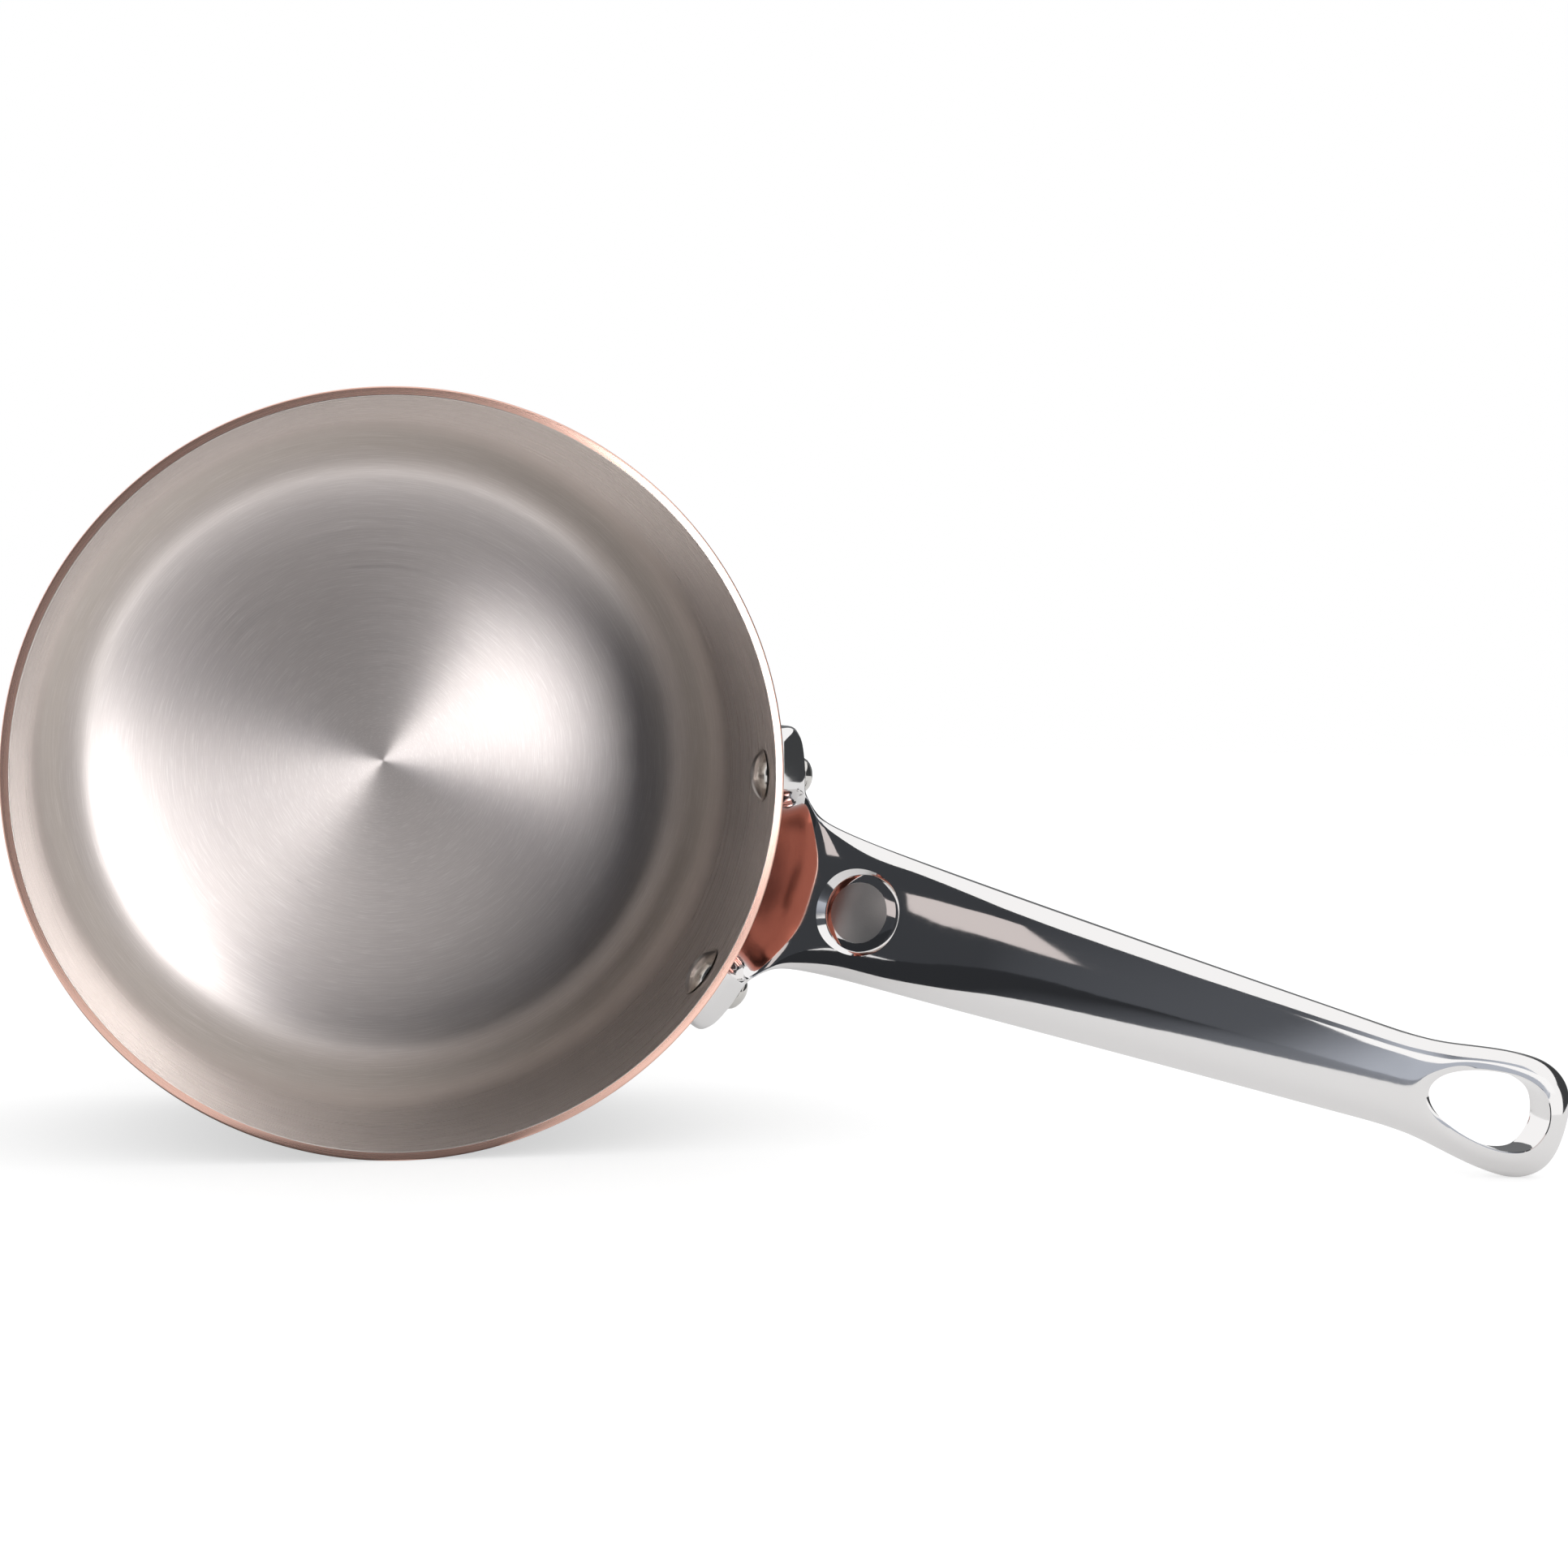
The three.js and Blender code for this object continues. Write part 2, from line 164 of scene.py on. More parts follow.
# %% The copper shell
ROUND_SIDES = 256
POT_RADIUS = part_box("copper_body")[1].x
POT_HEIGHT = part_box("copper_body")[1].z
LINING_OUTER_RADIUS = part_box("steel_lining")[1].y
COPPER_THICKNESS = POT_RADIUS - LINING_OUTER_RADIUS
LINING_THICKNESS = 0.2 * MM
INNER_CORNER = 10.5 * MM
LINING_CORNER = INNER_CORNER + LINING_THICKNESS
COPPER_CORNER = LINING_CORNER + COPPER_THICKNESS
FOOT_STEPS = 16
RIM_ROUNDING = 0.45 * MM
RIM_BAND = 0.01 * MM
SHEET_CRISP = 35


def drawn_pot(name, radius, floor, corner, thickness):
    """A straight-walled pot of sheet metal: its outer radius, its underside, its foot's radius, its sheet."""
    height = POT_HEIGHT - floor
    pot = start(
        name,
        bpy.ops.mesh.primitive_cylinder_add,
        vertices=ROUND_SIDES,
        radius=radius,
        depth=height,
        location=(0, 0, floor + height / 2),
    )
    pick(pot, "FACE", faces_up)
    bpy.ops.mesh.delete(type="FACE")
    pick(pot, "EDGE", lambda edge: middle(edge).z < floor + MM and len(edge.link_faces) == 2)
    round_edges(corner, FOOT_STEPS)
    close_edit()
    apply_modifier(pot, "SOLIDIFY", thickness=thickness, offset=-1, use_even_offset=True, use_rim=True)
    return pot


def round_rim(pot, radius, rounding):
    """Breaks the rim's edge at this radius. Returns how many edges that were."""
    bpy.ops.object.mode_set(mode="EDIT")
    top = POT_HEIGHT - RIM_BAND
    found = pick(pot, "EDGE", lambda edge: middle(edge).z > top and on_circle(edge, radius))
    round_edges(rounding)
    close_edit()
    return found


copper_shell = drawn_pot("copper_shell", POT_RADIUS, 0.0, COPPER_CORNER, COPPER_THICKNESS)
print("rim edges rounded:", round_rim(copper_shell, POT_RADIUS, RIM_ROUNDING))
smooth(copper_shell, SHEET_CRISP)
print("copper shell:", len(copper_shell.data.polygons), "faces")

# %% [markdown]
# ## Steel lining
# A skin of stainless steel is bonded to the inside of the copper before the sheet is drawn, so it follows the
# same shape and shows as a thin pale line at the rim. It is made as the copper was, one sheet further in.

# %% The lining
lining_skin = drawn_pot(
    "lining_skin", LINING_OUTER_RADIUS, COPPER_THICKNESS, LINING_CORNER, LINING_THICKNESS
)
INNER_RADIUS = LINING_OUTER_RADIUS - LINING_THICKNESS
print("inner diameter:", round(2 * INNER_RADIUS / MM, 1), "mm")

# %% [markdown]
# ## Steel lining: the dished floor
# The floor of a spun pot is never quite flat, and its highlights tell: they widen towards the wall and flow
# into it. So the floor is inset into rings, and the skin's inner side is lifted, hardly at all near the axis
# and more and more towards the foot. The outer side stays on the copper.

# %% Dish the lining's floor
FLOOR_RINGS = 20
FLOOR_RING = 3.3 * MM
DISH_TOP = 20 * MM
DISH_EVEN = 8e-5
DISH_STEEP = 2.4e-11
LOOKS_UP = 0.5
LOOKS_INWARDS = 0.01
LINING_RIM_ROUNDING = 0.12 * MM


def dish(radius):
    """How far the lining's floor stands above its middle, at a distance from the axis."""
    across = radius / MM
    return (DISH_EVEN * across**2 + DISH_STEEP * across**6) * MM


def faces_inwards(face):
    """Whether a face is on the inner side of the skin's floor or foot."""
    centre = face.calc_center_median()
    outwards = face.normal.x * centre.x + face.normal.y * centre.y
    inner_side = face.normal.z > LOOKS_UP or outwards < -LOOKS_INWARDS * from_axis(centre)
    return centre.z < DISH_TOP and inner_side


bpy.ops.object.mode_set(mode="EDIT")
pick(lining_skin, "FACE", lambda face: faces_up(face) and len(face.verts) == ROUND_SIDES)
for _ in range(FLOOR_RINGS):
    bpy.ops.mesh.inset(thickness=FLOOR_RING)
print("faces of the dished floor:", pick(lining_skin, "FACE", faces_inwards))
skin_mesh = bmesh.from_edit_mesh(lining_skin.data)
for vertex in skin_mesh.verts:
    if vertex.select:
        vertex.co.z += dish(from_axis(vertex.co))
bmesh.update_edit_mesh(lining_skin.data)
close_edit()
print("rim edges rounded:", round_rim(lining_skin, INNER_RADIUS, LINING_RIM_ROUNDING))
smooth(lining_skin, SHEET_CRISP)
print("floor lifted", round(dish(LINING_OUTER_RADIUS - LINING_CORNER) / MM, 1), "mm where the foot begins")
print("lining skin:", len(lining_skin.data.polygons), "faces")

# %% [markdown]
# ## Cast handle: the gauge
# The handle is a steel casting, ground and polished until it mirrors its surroundings. A polish shows every
# facet, so the solid is not smoothed but rebuilt: its cross-sections are measured, and a coarse cage that
# follows them is subdivided. Cutting the solid with a plane at a distance from the wall gives the section.

# %% Sections through the handle
EDGE_BAND = 0.1 * MM
handle_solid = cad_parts["handle"].data
handle_points = np.array([vertex.co for vertex in handle_solid.vertices])
handle_solid.calc_loop_triangles()
handle_triangles = handle_points[np.array([triangle.vertices for triangle in handle_solid.loop_triangles])]


def section(x):
    """The (y, z) points in which the plane at x cuts the handle's solid."""
    points = []
    for first, second in ((0, 1), (1, 2), (2, 0)):
        a, b = handle_triangles[:, first], handle_triangles[:, second]
        crosses = (a[:, 0] - x) * (b[:, 0] - x) < 0
        share = ((x - a[:, 0]) / np.where(crosses, b[:, 0] - a[:, 0], 1))[:, None]
        points.append((a + (b - a) * share)[crosses][:, 1:])
    return np.concatenate(points)


def gauge(distance):
    """Half width, height of the widest line, and the top and bottom curves at a distance from the wall."""
    cut = section(POT_RADIUS + distance * MM)
    half_width = np.abs(cut[:, 0]).max()
    edge_height = cut[np.abs(cut[:, 0]) > half_width - EDGE_BAND][:, 1].mean()
    half = np.column_stack([np.abs(cut[:, 0]), cut[:, 1]])
    top = half[half[:, 1] >= edge_height]
    bottom = half[half[:, 1] < edge_height]
    return half_width, edge_height, top[np.argsort(top[:, 0])], bottom[np.argsort(bottom[:, 0])]


def read_curve(curve, across):
    """The height of a measured curve at this distance from the middle."""
    return float(np.interp(across, curve[:, 0], curve[:, 1]))


# %% [markdown]
# ## Cast handle: the cage
# A tube along X is bisected into rings, which stand close together where the form changes fast. Sixteen
# columns are enough for a crowned bar. Distances along the handle are in millimetres from the pot's wall.
# The root starts inside the wall, so that the ears can flow out of it.

# %% A tube in rings
COLUMNS = 16
TUBE_RADIUS = 10 * MM
SPOT_DISTANCE = 21.0
SPOT_BORROWS = 29.0
HOLE_NEAR, HOLE_FAR = 143.2, 169.0
TIP = 175.6
ROOT_RINGS = {
    -8.0: dict(width=19.0, edge=80.0, top=66.5, bottom=60.0),
    -1.5: dict(width=20.6, edge=84.0, top=70.6, bottom=59.5),
    4.5: dict(width=21.8, edge=84.0, top=76.3, bottom=62.5),
}
MEASURED_RINGS = (8.5, 13.0, SPOT_DISTANCE, SPOT_BORROWS, 37, 46, 58, 74, 92, 110, 122, 130, 136.3)
LOOP_RINGS = (142.6, 147, 151.5, 156.5, 161.5, 166)
TIP_RINGS = (170.0, 173.2, TIP)
RINGS = sorted([*ROOT_RINGS, *MEASURED_RINGS, *LOOP_RINGS, *TIP_RINGS])

handle = start(
    "handle_casting",
    bpy.ops.mesh.primitive_cylinder_add,
    vertices=COLUMNS,
    radius=TUBE_RADIUS,
    depth=(RINGS[-1] - RINGS[0]) * MM,
    end_fill_type="NOTHING",
    location=(POT_RADIUS + (RINGS[0] + RINGS[-1]) / 2 * MM, 0, 0),
    rotation=(0, math.pi / 2, 0),
)
for distance in RINGS[1:-1]:
    bpy.ops.mesh.select_all(action="SELECT")
    bpy.ops.mesh.bisect(plane_co=(POT_RADIUS + distance * MM, 0, 0), plane_no=(1, 0, 0))
print("rings:", len(RINGS), "vertices:", len(bmesh.from_edit_mesh(handle.data).verts))

# %% [markdown]
# ## Cast handle: labels on the cage
# A vertex is easier to find again by its ring and column than by its place, which is about to change. Two
# layers of whole numbers hold them, and vertices that are extruded later inherit both.

# %% Number the rings and columns
cage = bmesh.from_edit_mesh(handle.data)
for name in ("ring", "column"):
    cage.verts.layers.int.new(name)


def cage_of(piece):
    """The mesh of a piece in edit mode, and the layers that hold each vertex's ring and column."""
    mesh = bmesh.from_edit_mesh(piece.data)
    return mesh, mesh.verts.layers.int["ring"], mesh.verts.layers.int["column"]


cage, ring_layer, column_layer = cage_of(handle)
for vertex in cage.verts:
    distance = (vertex.co.x - POT_RADIUS) / MM
    vertex[ring_layer] = min(range(len(RINGS)), key=lambda ring: abs(RINGS[ring] - distance))
    turn = math.atan2(vertex.co.z, vertex.co.y) / (2 * math.pi) * COLUMNS
    vertex[column_layer] = round(turn) % COLUMNS
print("columns:", len({vertex[column_layer] for vertex in cage.verts}))

# %% [markdown]
# ## Cast handle: pressing the rings
# Each ring is pressed onto the section that the gauge gives there, a touch oversize, because subdividing
# draws a cage in. Near the wall the ears hide the bar's own section, so the rings of the root are listed
# one by one, as a bar that is scooped out between its two edges. At the round spot, which is cut later, the
# section is borrowed from just beyond it.

# %% Press the rings onto the gauge
ACROSS_POWER = 2 / 2.6
UP_POWER = 2 / 2.2
HOLLOW_POWER = 4
NOISE = 1e-6
LAST_SECTION = TIP - 0.4
RING_SWELL = 1.02
ROOT_FLARE = {8.5: 1.05, 13.0: 1.025}
TIP_FULLNESS = {166: 1.01, 170.0: 1.03, 173.2: 1.05, TIP: 1.08}


def signed_power(value, power):
    """A power that keeps the sign, with rounding noise taken for zero."""
    return math.copysign(abs(value) ** power, value) if abs(value) > NOISE else 0.0


def root_point(ring, across, up):
    """A point of a ring that is listed: a bar scooped between its two edges."""
    hollow = (ring["edge"] - ring["top"]) * (1 - across**HOLLOW_POWER)
    lift = -hollow if up >= 0 else up * (ring["edge"] - ring["bottom"])
    return across * ring["width"] * MM, (ring["edge"] + lift) * MM


def measured_point(distance, across, up):
    """A point of a ring that follows the gauge."""
    half_width, edge_height, top, bottom = gauge(min(distance, LAST_SECTION))
    shift = 0.0
    if distance == SPOT_DISTANCE:
        _, borrowed_height, top, bottom = gauge(SPOT_BORROWS)
        shift = edge_height - borrowed_height
    wide = across * half_width * ROOT_FLARE.get(distance, RING_SWELL) * TIP_FULLNESS.get(distance, 1.0)
    if up == 0:
        return wide, edge_height
    height = read_curve(top if up > 0 else bottom, abs(across) * half_width) + shift
    return wide, edge_height + (height - edge_height) * RING_SWELL


for vertex in cage.verts:
    distance = RINGS[vertex[ring_layer]]
    angle = 2 * math.pi * vertex[column_layer] / COLUMNS
    across = signed_power(math.cos(angle), ACROSS_POWER)
    up = signed_power(math.sin(angle), UP_POWER)
    if distance in ROOT_RINGS:
        vertex.co.yz = root_point(ROOT_RINGS[distance], across, up)
    else:
        vertex.co.yz = measured_point(distance, across, up)
bmesh.update_edit_mesh(handle.data)
print("widest ring:", round(max(vertex.co.y for vertex in cage.verts) / MM, 1), "mm from the middle")

# %% [markdown]
# ## Cast handle: the loop's eye
# The loop is the flattened end of the bar with an egg-shaped eye through it. A boolean cut would leave a
# sharp edge and uneven faces, so the eye is worked into the cage. Its outline is a rounded oblong whose
# width grows towards the tip. A margin around it tells how far the cage's edges keep from the hole.

# %% The eye's outline
EYE_FIRST = RINGS.index(LOOP_RINGS[0])
EYE_LAST = RINGS.index(LOOP_RINGS[-1]) + 1
EYE_HALF_WIDTH = 7.3
EYE_TAPER = 0.27
EYE_SQUARENESS = 2.5
EYE_SHOULDER = 1.6
eye_middle = (HOLE_NEAR + HOLE_FAR) / 2
eye_half_length = (HOLE_FAR - HOLE_NEAR) / 2


def egg(distance, margin):
    """Half the eye's width at a distance from the wall, with a margin around it."""
    along = (distance - eye_middle) / (eye_half_length + margin)
    rounding = math.sqrt(max(0.0, 1 - abs(along) ** EYE_SQUARENESS))
    return (EYE_HALF_WIDTH + margin) * rounding * (1 + EYE_TAPER * along)


def eye_point(ring, from_middle, margin):
    """Where a vertex beside the eye goes: how far from the wall, and how far from the bar's middle."""
    if EYE_FIRST < ring < EYE_LAST:
        return RINGS[ring], egg(RINGS[ring], margin)
    end, inwards = (HOLE_NEAR - margin, 1) if ring == EYE_FIRST else (HOLE_FAR + margin, -1)
    along = end + inwards * EYE_SHOULDER * from_middle
    return along, from_middle * egg(along, margin)


print("eye:", round(HOLE_FAR - HOLE_NEAR, 1), "mm long,", round(2 * egg(eye_middle, 0), 1), "mm wide")

# %% [markdown]
# ## Cast handle: opening the eye
# The faces over and under the eye are deleted, and the edges left there are drawn to an egg a little larger
# than the eye, still on the casting's surface. The next row on each limb moves halfway between the egg and
# the outside, and the tip is pulled in a little so that its end stays round.

# %% Open the eye
TOP_COLUMN = COLUMNS // 4
BOTTOM_COLUMN = 3 * COLUMNS // 4
EYE_COLLAR = 2.6
TIP_PULL = 1.5


def rings_of(face):
    """The rings that a face's vertices belong to."""
    return [vertex[ring_layer] for vertex in face.verts]


def near_column(face, column):
    """Whether a face touches a column."""
    return all(abs(vertex[column_layer] - column) <= 1 for vertex in face.verts)


def over_eye(face):
    """Whether a face lies over the eye, or under it."""
    inside = min(rings_of(face)) >= EYE_FIRST and max(rings_of(face)) <= EYE_LAST
    return inside and (near_column(face, TOP_COLUMN) or near_column(face, BOTTOM_COLUMN))


def on_top(vertex):
    """Whether a vertex is on the upper side of the bar."""
    return vertex[column_layer] < COLUMNS // 2


def columns_from_middle(vertex):
    """How many columns lie between a vertex and the bar's middle."""
    return min(abs(vertex[column_layer] - TOP_COLUMN), abs(vertex[column_layer] - BOTTOM_COLUMN))


def surface_height(distance, across, above):
    """The height of the casting's upper or lower face, away from the wall and from the bar's middle."""
    _, edge_height, top, bottom = gauge(distance)
    height = read_curve(top if above else bottom, across * MM)
    return edge_height + (height - edge_height) * RING_SWELL


def set_beside_eye(vertex, along, across):
    """Moves a vertex in plan, and keeps it on its side of the bar."""
    vertex.co.x = POT_RADIUS + along * MM
    vertex.co.y = math.copysign(across * MM, vertex.co.y)


print("faces over the eye:", pick(handle, "FACE", over_eye))
bpy.ops.mesh.delete(type="FACE")
cage, ring_layer, column_layer = cage_of(handle)
for vertex in cage.verts:
    ring, from_middle = vertex[ring_layer], columns_from_middle(vertex)
    if EYE_FIRST <= ring <= EYE_LAST and from_middle <= 1:
        along, across = eye_point(ring, from_middle, EYE_COLLAR)
        set_beside_eye(vertex, along, across)
        vertex.co.z = surface_height(along, across, on_top(vertex))
    if EYE_FIRST < ring < EYE_LAST and from_middle == 2:
        outer = max(abs(other.co.y) for other in cage.verts if other[ring_layer] == ring) / MM
        limb = (egg(RINGS[ring], EYE_COLLAR) + outer) / 2
        vertex.co.y = math.copysign(limb * MM, vertex.co.y)
        vertex.co.z = surface_height(RINGS[ring], limb, on_top(vertex))
    if ring == len(RINGS) - 1:
        vertex.co.x -= TIP_PULL * MM
bmesh.update_edit_mesh(handle.data)

# %% [markdown]
# ## Cast handle: the eye's lip
# The open edges are extruded inwards to the eye itself and dropped a little, which gives an even rounded lip,
# and a crease keeps it firm. A bridge then joins the upper lip to the lower. The lip drops more at the end
# near the grip, as on a casting that was ground by hand.

# %% The eye's lip
EYE_LIP = 0.7
EYE_DROP_NEAR, EYE_DROP_FAR = 0.75, -0.35
EYE_DROP_POWER = 3
EYE_CREASE = 0.85
LOOP_RISE = 0.2


def eye_edge(edge):
    """Whether an edge is an open one around the eye."""
    return edge.is_boundary and all(EYE_FIRST <= vertex[ring_layer] <= EYE_LAST for vertex in edge.verts)


def lip_drop(along):
    """How far the lip lies below the surface, at a distance from the wall."""
    to_far_end = (HOLE_FAR + EYE_LIP - along) / (HOLE_FAR - HOLE_NEAR + 2 * EYE_LIP)
    return EYE_DROP_FAR + (EYE_DROP_NEAR - EYE_DROP_FAR) * to_far_end**EYE_DROP_POWER


print("edges of the eye:", pick(handle, "EDGE", eye_edge))
bpy.ops.mesh.extrude_region_move()
cage, ring_layer, column_layer = cage_of(handle)
for vertex in [vertex for vertex in cage.verts if vertex.select]:
    along, across = eye_point(vertex[ring_layer], columns_from_middle(vertex), EYE_LIP)
    climb = LOOP_RISE * (POT_RADIUS + along * MM - vertex.co.x)
    set_beside_eye(vertex, along, across)
    drop = lip_drop(along) * MM
    vertex.co.z += climb - drop if on_top(vertex) else climb + drop
bmesh.update_edit_mesh(handle.data)
bpy.ops.transform.edge_crease(value=EYE_CREASE)
bpy.ops.mesh.bridge_edge_loops(number_cuts=1)

# %% [markdown]
# ## Cast handle: the ends
# The tip is filled with a grid of four-sided faces, which stay smooth when they are subdivided. The end at
# the root is never seen, because the wall's seat is cut there, so one face is enough for it.

# %% Close the ends
def tip_edge(edge):
    """Whether an edge is an open one at the tip."""
    return edge.is_boundary and all(vertex[ring_layer] == len(RINGS) - 1 for vertex in edge.verts)


print("edges of the tip:", pick(handle, "EDGE", tip_edge))
bpy.ops.mesh.fill_grid(span=COLUMNS // 4)
print("edges of the root:", pick(handle, "EDGE", lambda edge: edge.is_boundary))
bpy.ops.mesh.edge_face_add()
bpy.ops.mesh.select_all(action="SELECT")
bpy.ops.mesh.normals_make_consistent(inside=False)

# %% [markdown]
# ## Cast handle: the ears
# Two ears hug the wall and take the rivets. They are drawn out of the sides of the root: the side faces are
# extruded three times on each side, and each time laid on a section across the ear, which stands at an angle
# about the pot's axis. The top row becomes the ridge that runs from the handle's edge to the ear. Heights
# and radii are in millimetres.

# %% The ears
EAR_ROWS = (1, 0, -1, -2, -3)
EAR_SECTIONS = (
    dict(angle=14.8, crest=(86.8, 86.1, 83.6), sides=(80.8, 77.0, 73.0, 69.2), radii=(78.5, 83.8, 88.7)),
    dict(angle=19.8, crest=(86.8, 86.3, 83.7), sides=(80.8, 77.0, 72.8, 69.0), radii=(78.5, 83.8, 88.3)),
    dict(angle=24.4, crest=(86.4, 85.9, 83.9), sides=(80.8, 77.0, 73.2, 69.8), radii=(78.5, 83.7, 87.6)),
)


def ear_row(vertex, side):
    """The row of an ear that a vertex of the root belongs to: 0 at the widest line, more above it."""
    column = vertex[column_layer]
    from_edge = column if side > 0 else COLUMNS // 2 - column
    return (from_edge + COLUMNS // 2) % COLUMNS - COLUMNS // 2


def ear_side(face, side):
    """Whether a face of the root's side becomes an ear."""
    in_root = max(rings_of(face)) < len(ROOT_RINGS) and len(face.verts) == 4
    return in_root and all(ear_row(vertex, side) in EAR_ROWS for vertex in face.verts)


for side in (1, -1):
    print("faces of an ear's root:", pick(handle, "FACE", lambda face: ear_side(face, side)))
    for ear_section in EAR_SECTIONS:
        bpy.ops.mesh.extrude_region_move()
        cage, ring_layer, column_layer = cage_of(handle)
        angle = math.radians(side * ear_section["angle"])
        for vertex in [vertex for vertex in cage.verts if vertex.select]:
            reach = ear_section["radii"][vertex[ring_layer]]
            row = EAR_ROWS.index(ear_row(vertex, side))
            height = ear_section["sides"][row - 1] if row else ear_section["crest"][vertex[ring_layer]]
            vertex.co = Vector((reach * math.cos(angle), reach * math.sin(angle), height)) * MM
        bmesh.update_edit_mesh(handle.data)

# %% [markdown]
# ## Cast handle: brows and skin
# A subdivided cage rounds everything. The upper outer edges of the ears are tighter than that on the real
# casting, so they get a crease before the whole cage is subdivided into the smooth skin.

# %% Crease the brows and subdivide
BROW_LOW = 83.0 * MM
BROW_OUT = 85.9 * MM
SAME_ANGLE = 0.001
EAR_CREASE = 0.85
SUBDIVISIONS = 3
ear_start = math.radians(EAR_SECTIONS[0]["angle"])


def ear_brow(edge):
    """Whether an edge runs along the upper outer edge of an ear, or along the ridge where the ear begins."""
    turns = [abs(math.atan2(vertex.co.y, vertex.co.x)) for vertex in edge.verts]
    high = all(vertex.co.z > BROW_LOW for vertex in edge.verts)
    outer = all(from_axis(vertex.co) > BROW_OUT for vertex in edge.verts)
    ridge = max(turns) < ear_start + SAME_ANGLE
    return high and min(turns) > ear_start - SAME_ANGLE and (outer or ridge)


print("edges of the ears' brows:", pick(handle, "EDGE", ear_brow))
bpy.ops.transform.edge_crease(value=EAR_CREASE)
close_edit()
apply_modifier(handle, "SUBSURF", levels=SUBDIVISIONS, render_levels=SUBDIVISIONS)
print("casting before cutting:", len(handle.data.polygons), "faces")

# %% [markdown]
# ## Cast handle: the seat
# The root was let run through the wall so that the ears flow out of it without a seam. What lies inside the
# wall is now cut away with a cylinder a hair wider than the pot, as a casting is ground to its pot.

# %% Cut the seat
WALL_GAP = 0.3 * MM


def cut_away(piece, cutter):
    """Subtracts a cutter from a piece and removes the cutter."""
    apply_modifier(piece, "BOOLEAN", operation="DIFFERENCE", solver="EXACT", object=cutter)
    bpy.data.objects.remove(cutter)


wall_cutter = start(
    "wall_cutter",
    bpy.ops.mesh.primitive_cylinder_add,
    vertices=2 * ROUND_SIDES,
    radius=POT_RADIUS + WALL_GAP,
    depth=4 * POT_HEIGHT,
)
close_edit()
cut_away(handle, wall_cutter)
print("casting on its seat:", len(handle.data.polygons), "faces")

# %% [markdown]
# ## Cast handle: the round spot
# The round spot near the root is sunk with a cutter whose end face is stepped: a shallow disc and a deeper
# ring. A ray from above finds the surface and its slope, and the cutter is stood on them.

# %% Cut the spot
SPOT_SIDES = 128
SPOT_RADIUS = 6.8 * MM
SPOT_DEPTH = 0.5 * MM
RING_OUTER_RADIUS = 10.2 * MM
RING_DEPTH = 1.3 * MM
RING_FLOOR_RADIUS = 8.6 * MM
CUTTER_HEIGHT = 8 * MM
CASTING_CRISP = 30
UPWARDS = Vector((0, 0, 1))

above_spot = Vector((POT_RADIUS + SPOT_DISTANCE * MM, 0, 1))
_, spot_place, spot_normal, _ = handle.ray_cast(above_spot, -UPWARDS)
spot_normal.y = 0
spot_normal.normalize()
spot_cutter = start(
    "spot_cutter",
    bpy.ops.mesh.primitive_cylinder_add,
    vertices=SPOT_SIDES,
    radius=RING_OUTER_RADIUS,
    depth=CUTTER_HEIGHT,
    location=(0, 0, CUTTER_HEIGHT / 2),
)
pick(spot_cutter, "FACE", lambda face: face.normal.z < -LEVEL)
bpy.ops.mesh.inset(thickness=RING_OUTER_RADIUS - RING_FLOOR_RADIUS)
bpy.ops.transform.translate(value=(0, 0, -RING_DEPTH))
bpy.ops.mesh.inset(thickness=RING_FLOOR_RADIUS - SPOT_RADIUS)
bpy.ops.transform.translate(value=(0, 0, RING_DEPTH - SPOT_DEPTH))
close_edit()
spot_turn = UPWARDS.rotation_difference(spot_normal).to_matrix().to_4x4()
spot_cutter.data.transform(Matrix.Translation(spot_place) @ spot_turn)
cut_away(handle, spot_cutter)
smooth(handle, CASTING_CRISP)
print("spot leans", round(math.degrees(spot_normal.angle(UPWARDS)), 1), "degrees from level")
print("casting:", len(handle.data.polygons), "faces")

# %% [markdown]
# ## Rivets: the inner head
# Two solid rivets go through lining, copper and ear. Each has a low dome inside the pot and a smaller one
# outside. One rivet is modelled upright, with the seat of its inner head at z = 0. A sphere cut by a
# plane gives the dome, and the flat left by the cut is inset and drawn out into the shank.

# %% Inner head and shank
HEAD_RADIUS = 6.0 * MM
HEAD_HEIGHT = 2.5 * MM
SHANK_RADIUS = 3.0 * MM
RIVET_SEAT = 79.6 * MM
RIVET_OUTER_SEAT = 88.9 * MM
DOME_SEGMENTS, DOME_RINGS = 64, 96
SHANK_LENGTH = RIVET_OUTER_SEAT - RIVET_SEAT

dome_radius = (HEAD_RADIUS**2 + HEAD_HEIGHT**2) / (2 * HEAD_HEIGHT)
rivet = start(
    "rivet_left_solid",
    bpy.ops.mesh.primitive_uv_sphere_add,
    segments=DOME_SEGMENTS,
    ring_count=DOME_RINGS,
    radius=dome_radius,
    location=(0, 0, dome_radius - HEAD_HEIGHT),
)
bpy.ops.mesh.select_all(action="SELECT")
bpy.ops.mesh.bisect(plane_co=(0, 0, 0), plane_no=(0, 0, 1), clear_outer=True, use_fill=True)
print("flats left by the cut:", pick(rivet, "FACE", faces_up))
bpy.ops.mesh.inset(thickness=HEAD_RADIUS - SHANK_RADIUS)
bpy.ops.mesh.extrude_region_move(TRANSFORM_OT_translate={"value": (0, 0, SHANK_LENGTH)})

# %% [markdown]
# ## Rivets: the outer head
# The end of the shank was struck flat and domed. It is widened to the head's radius and extruded in small
# steps along a quarter of an oval. Last, the edge of the inner head is broken.

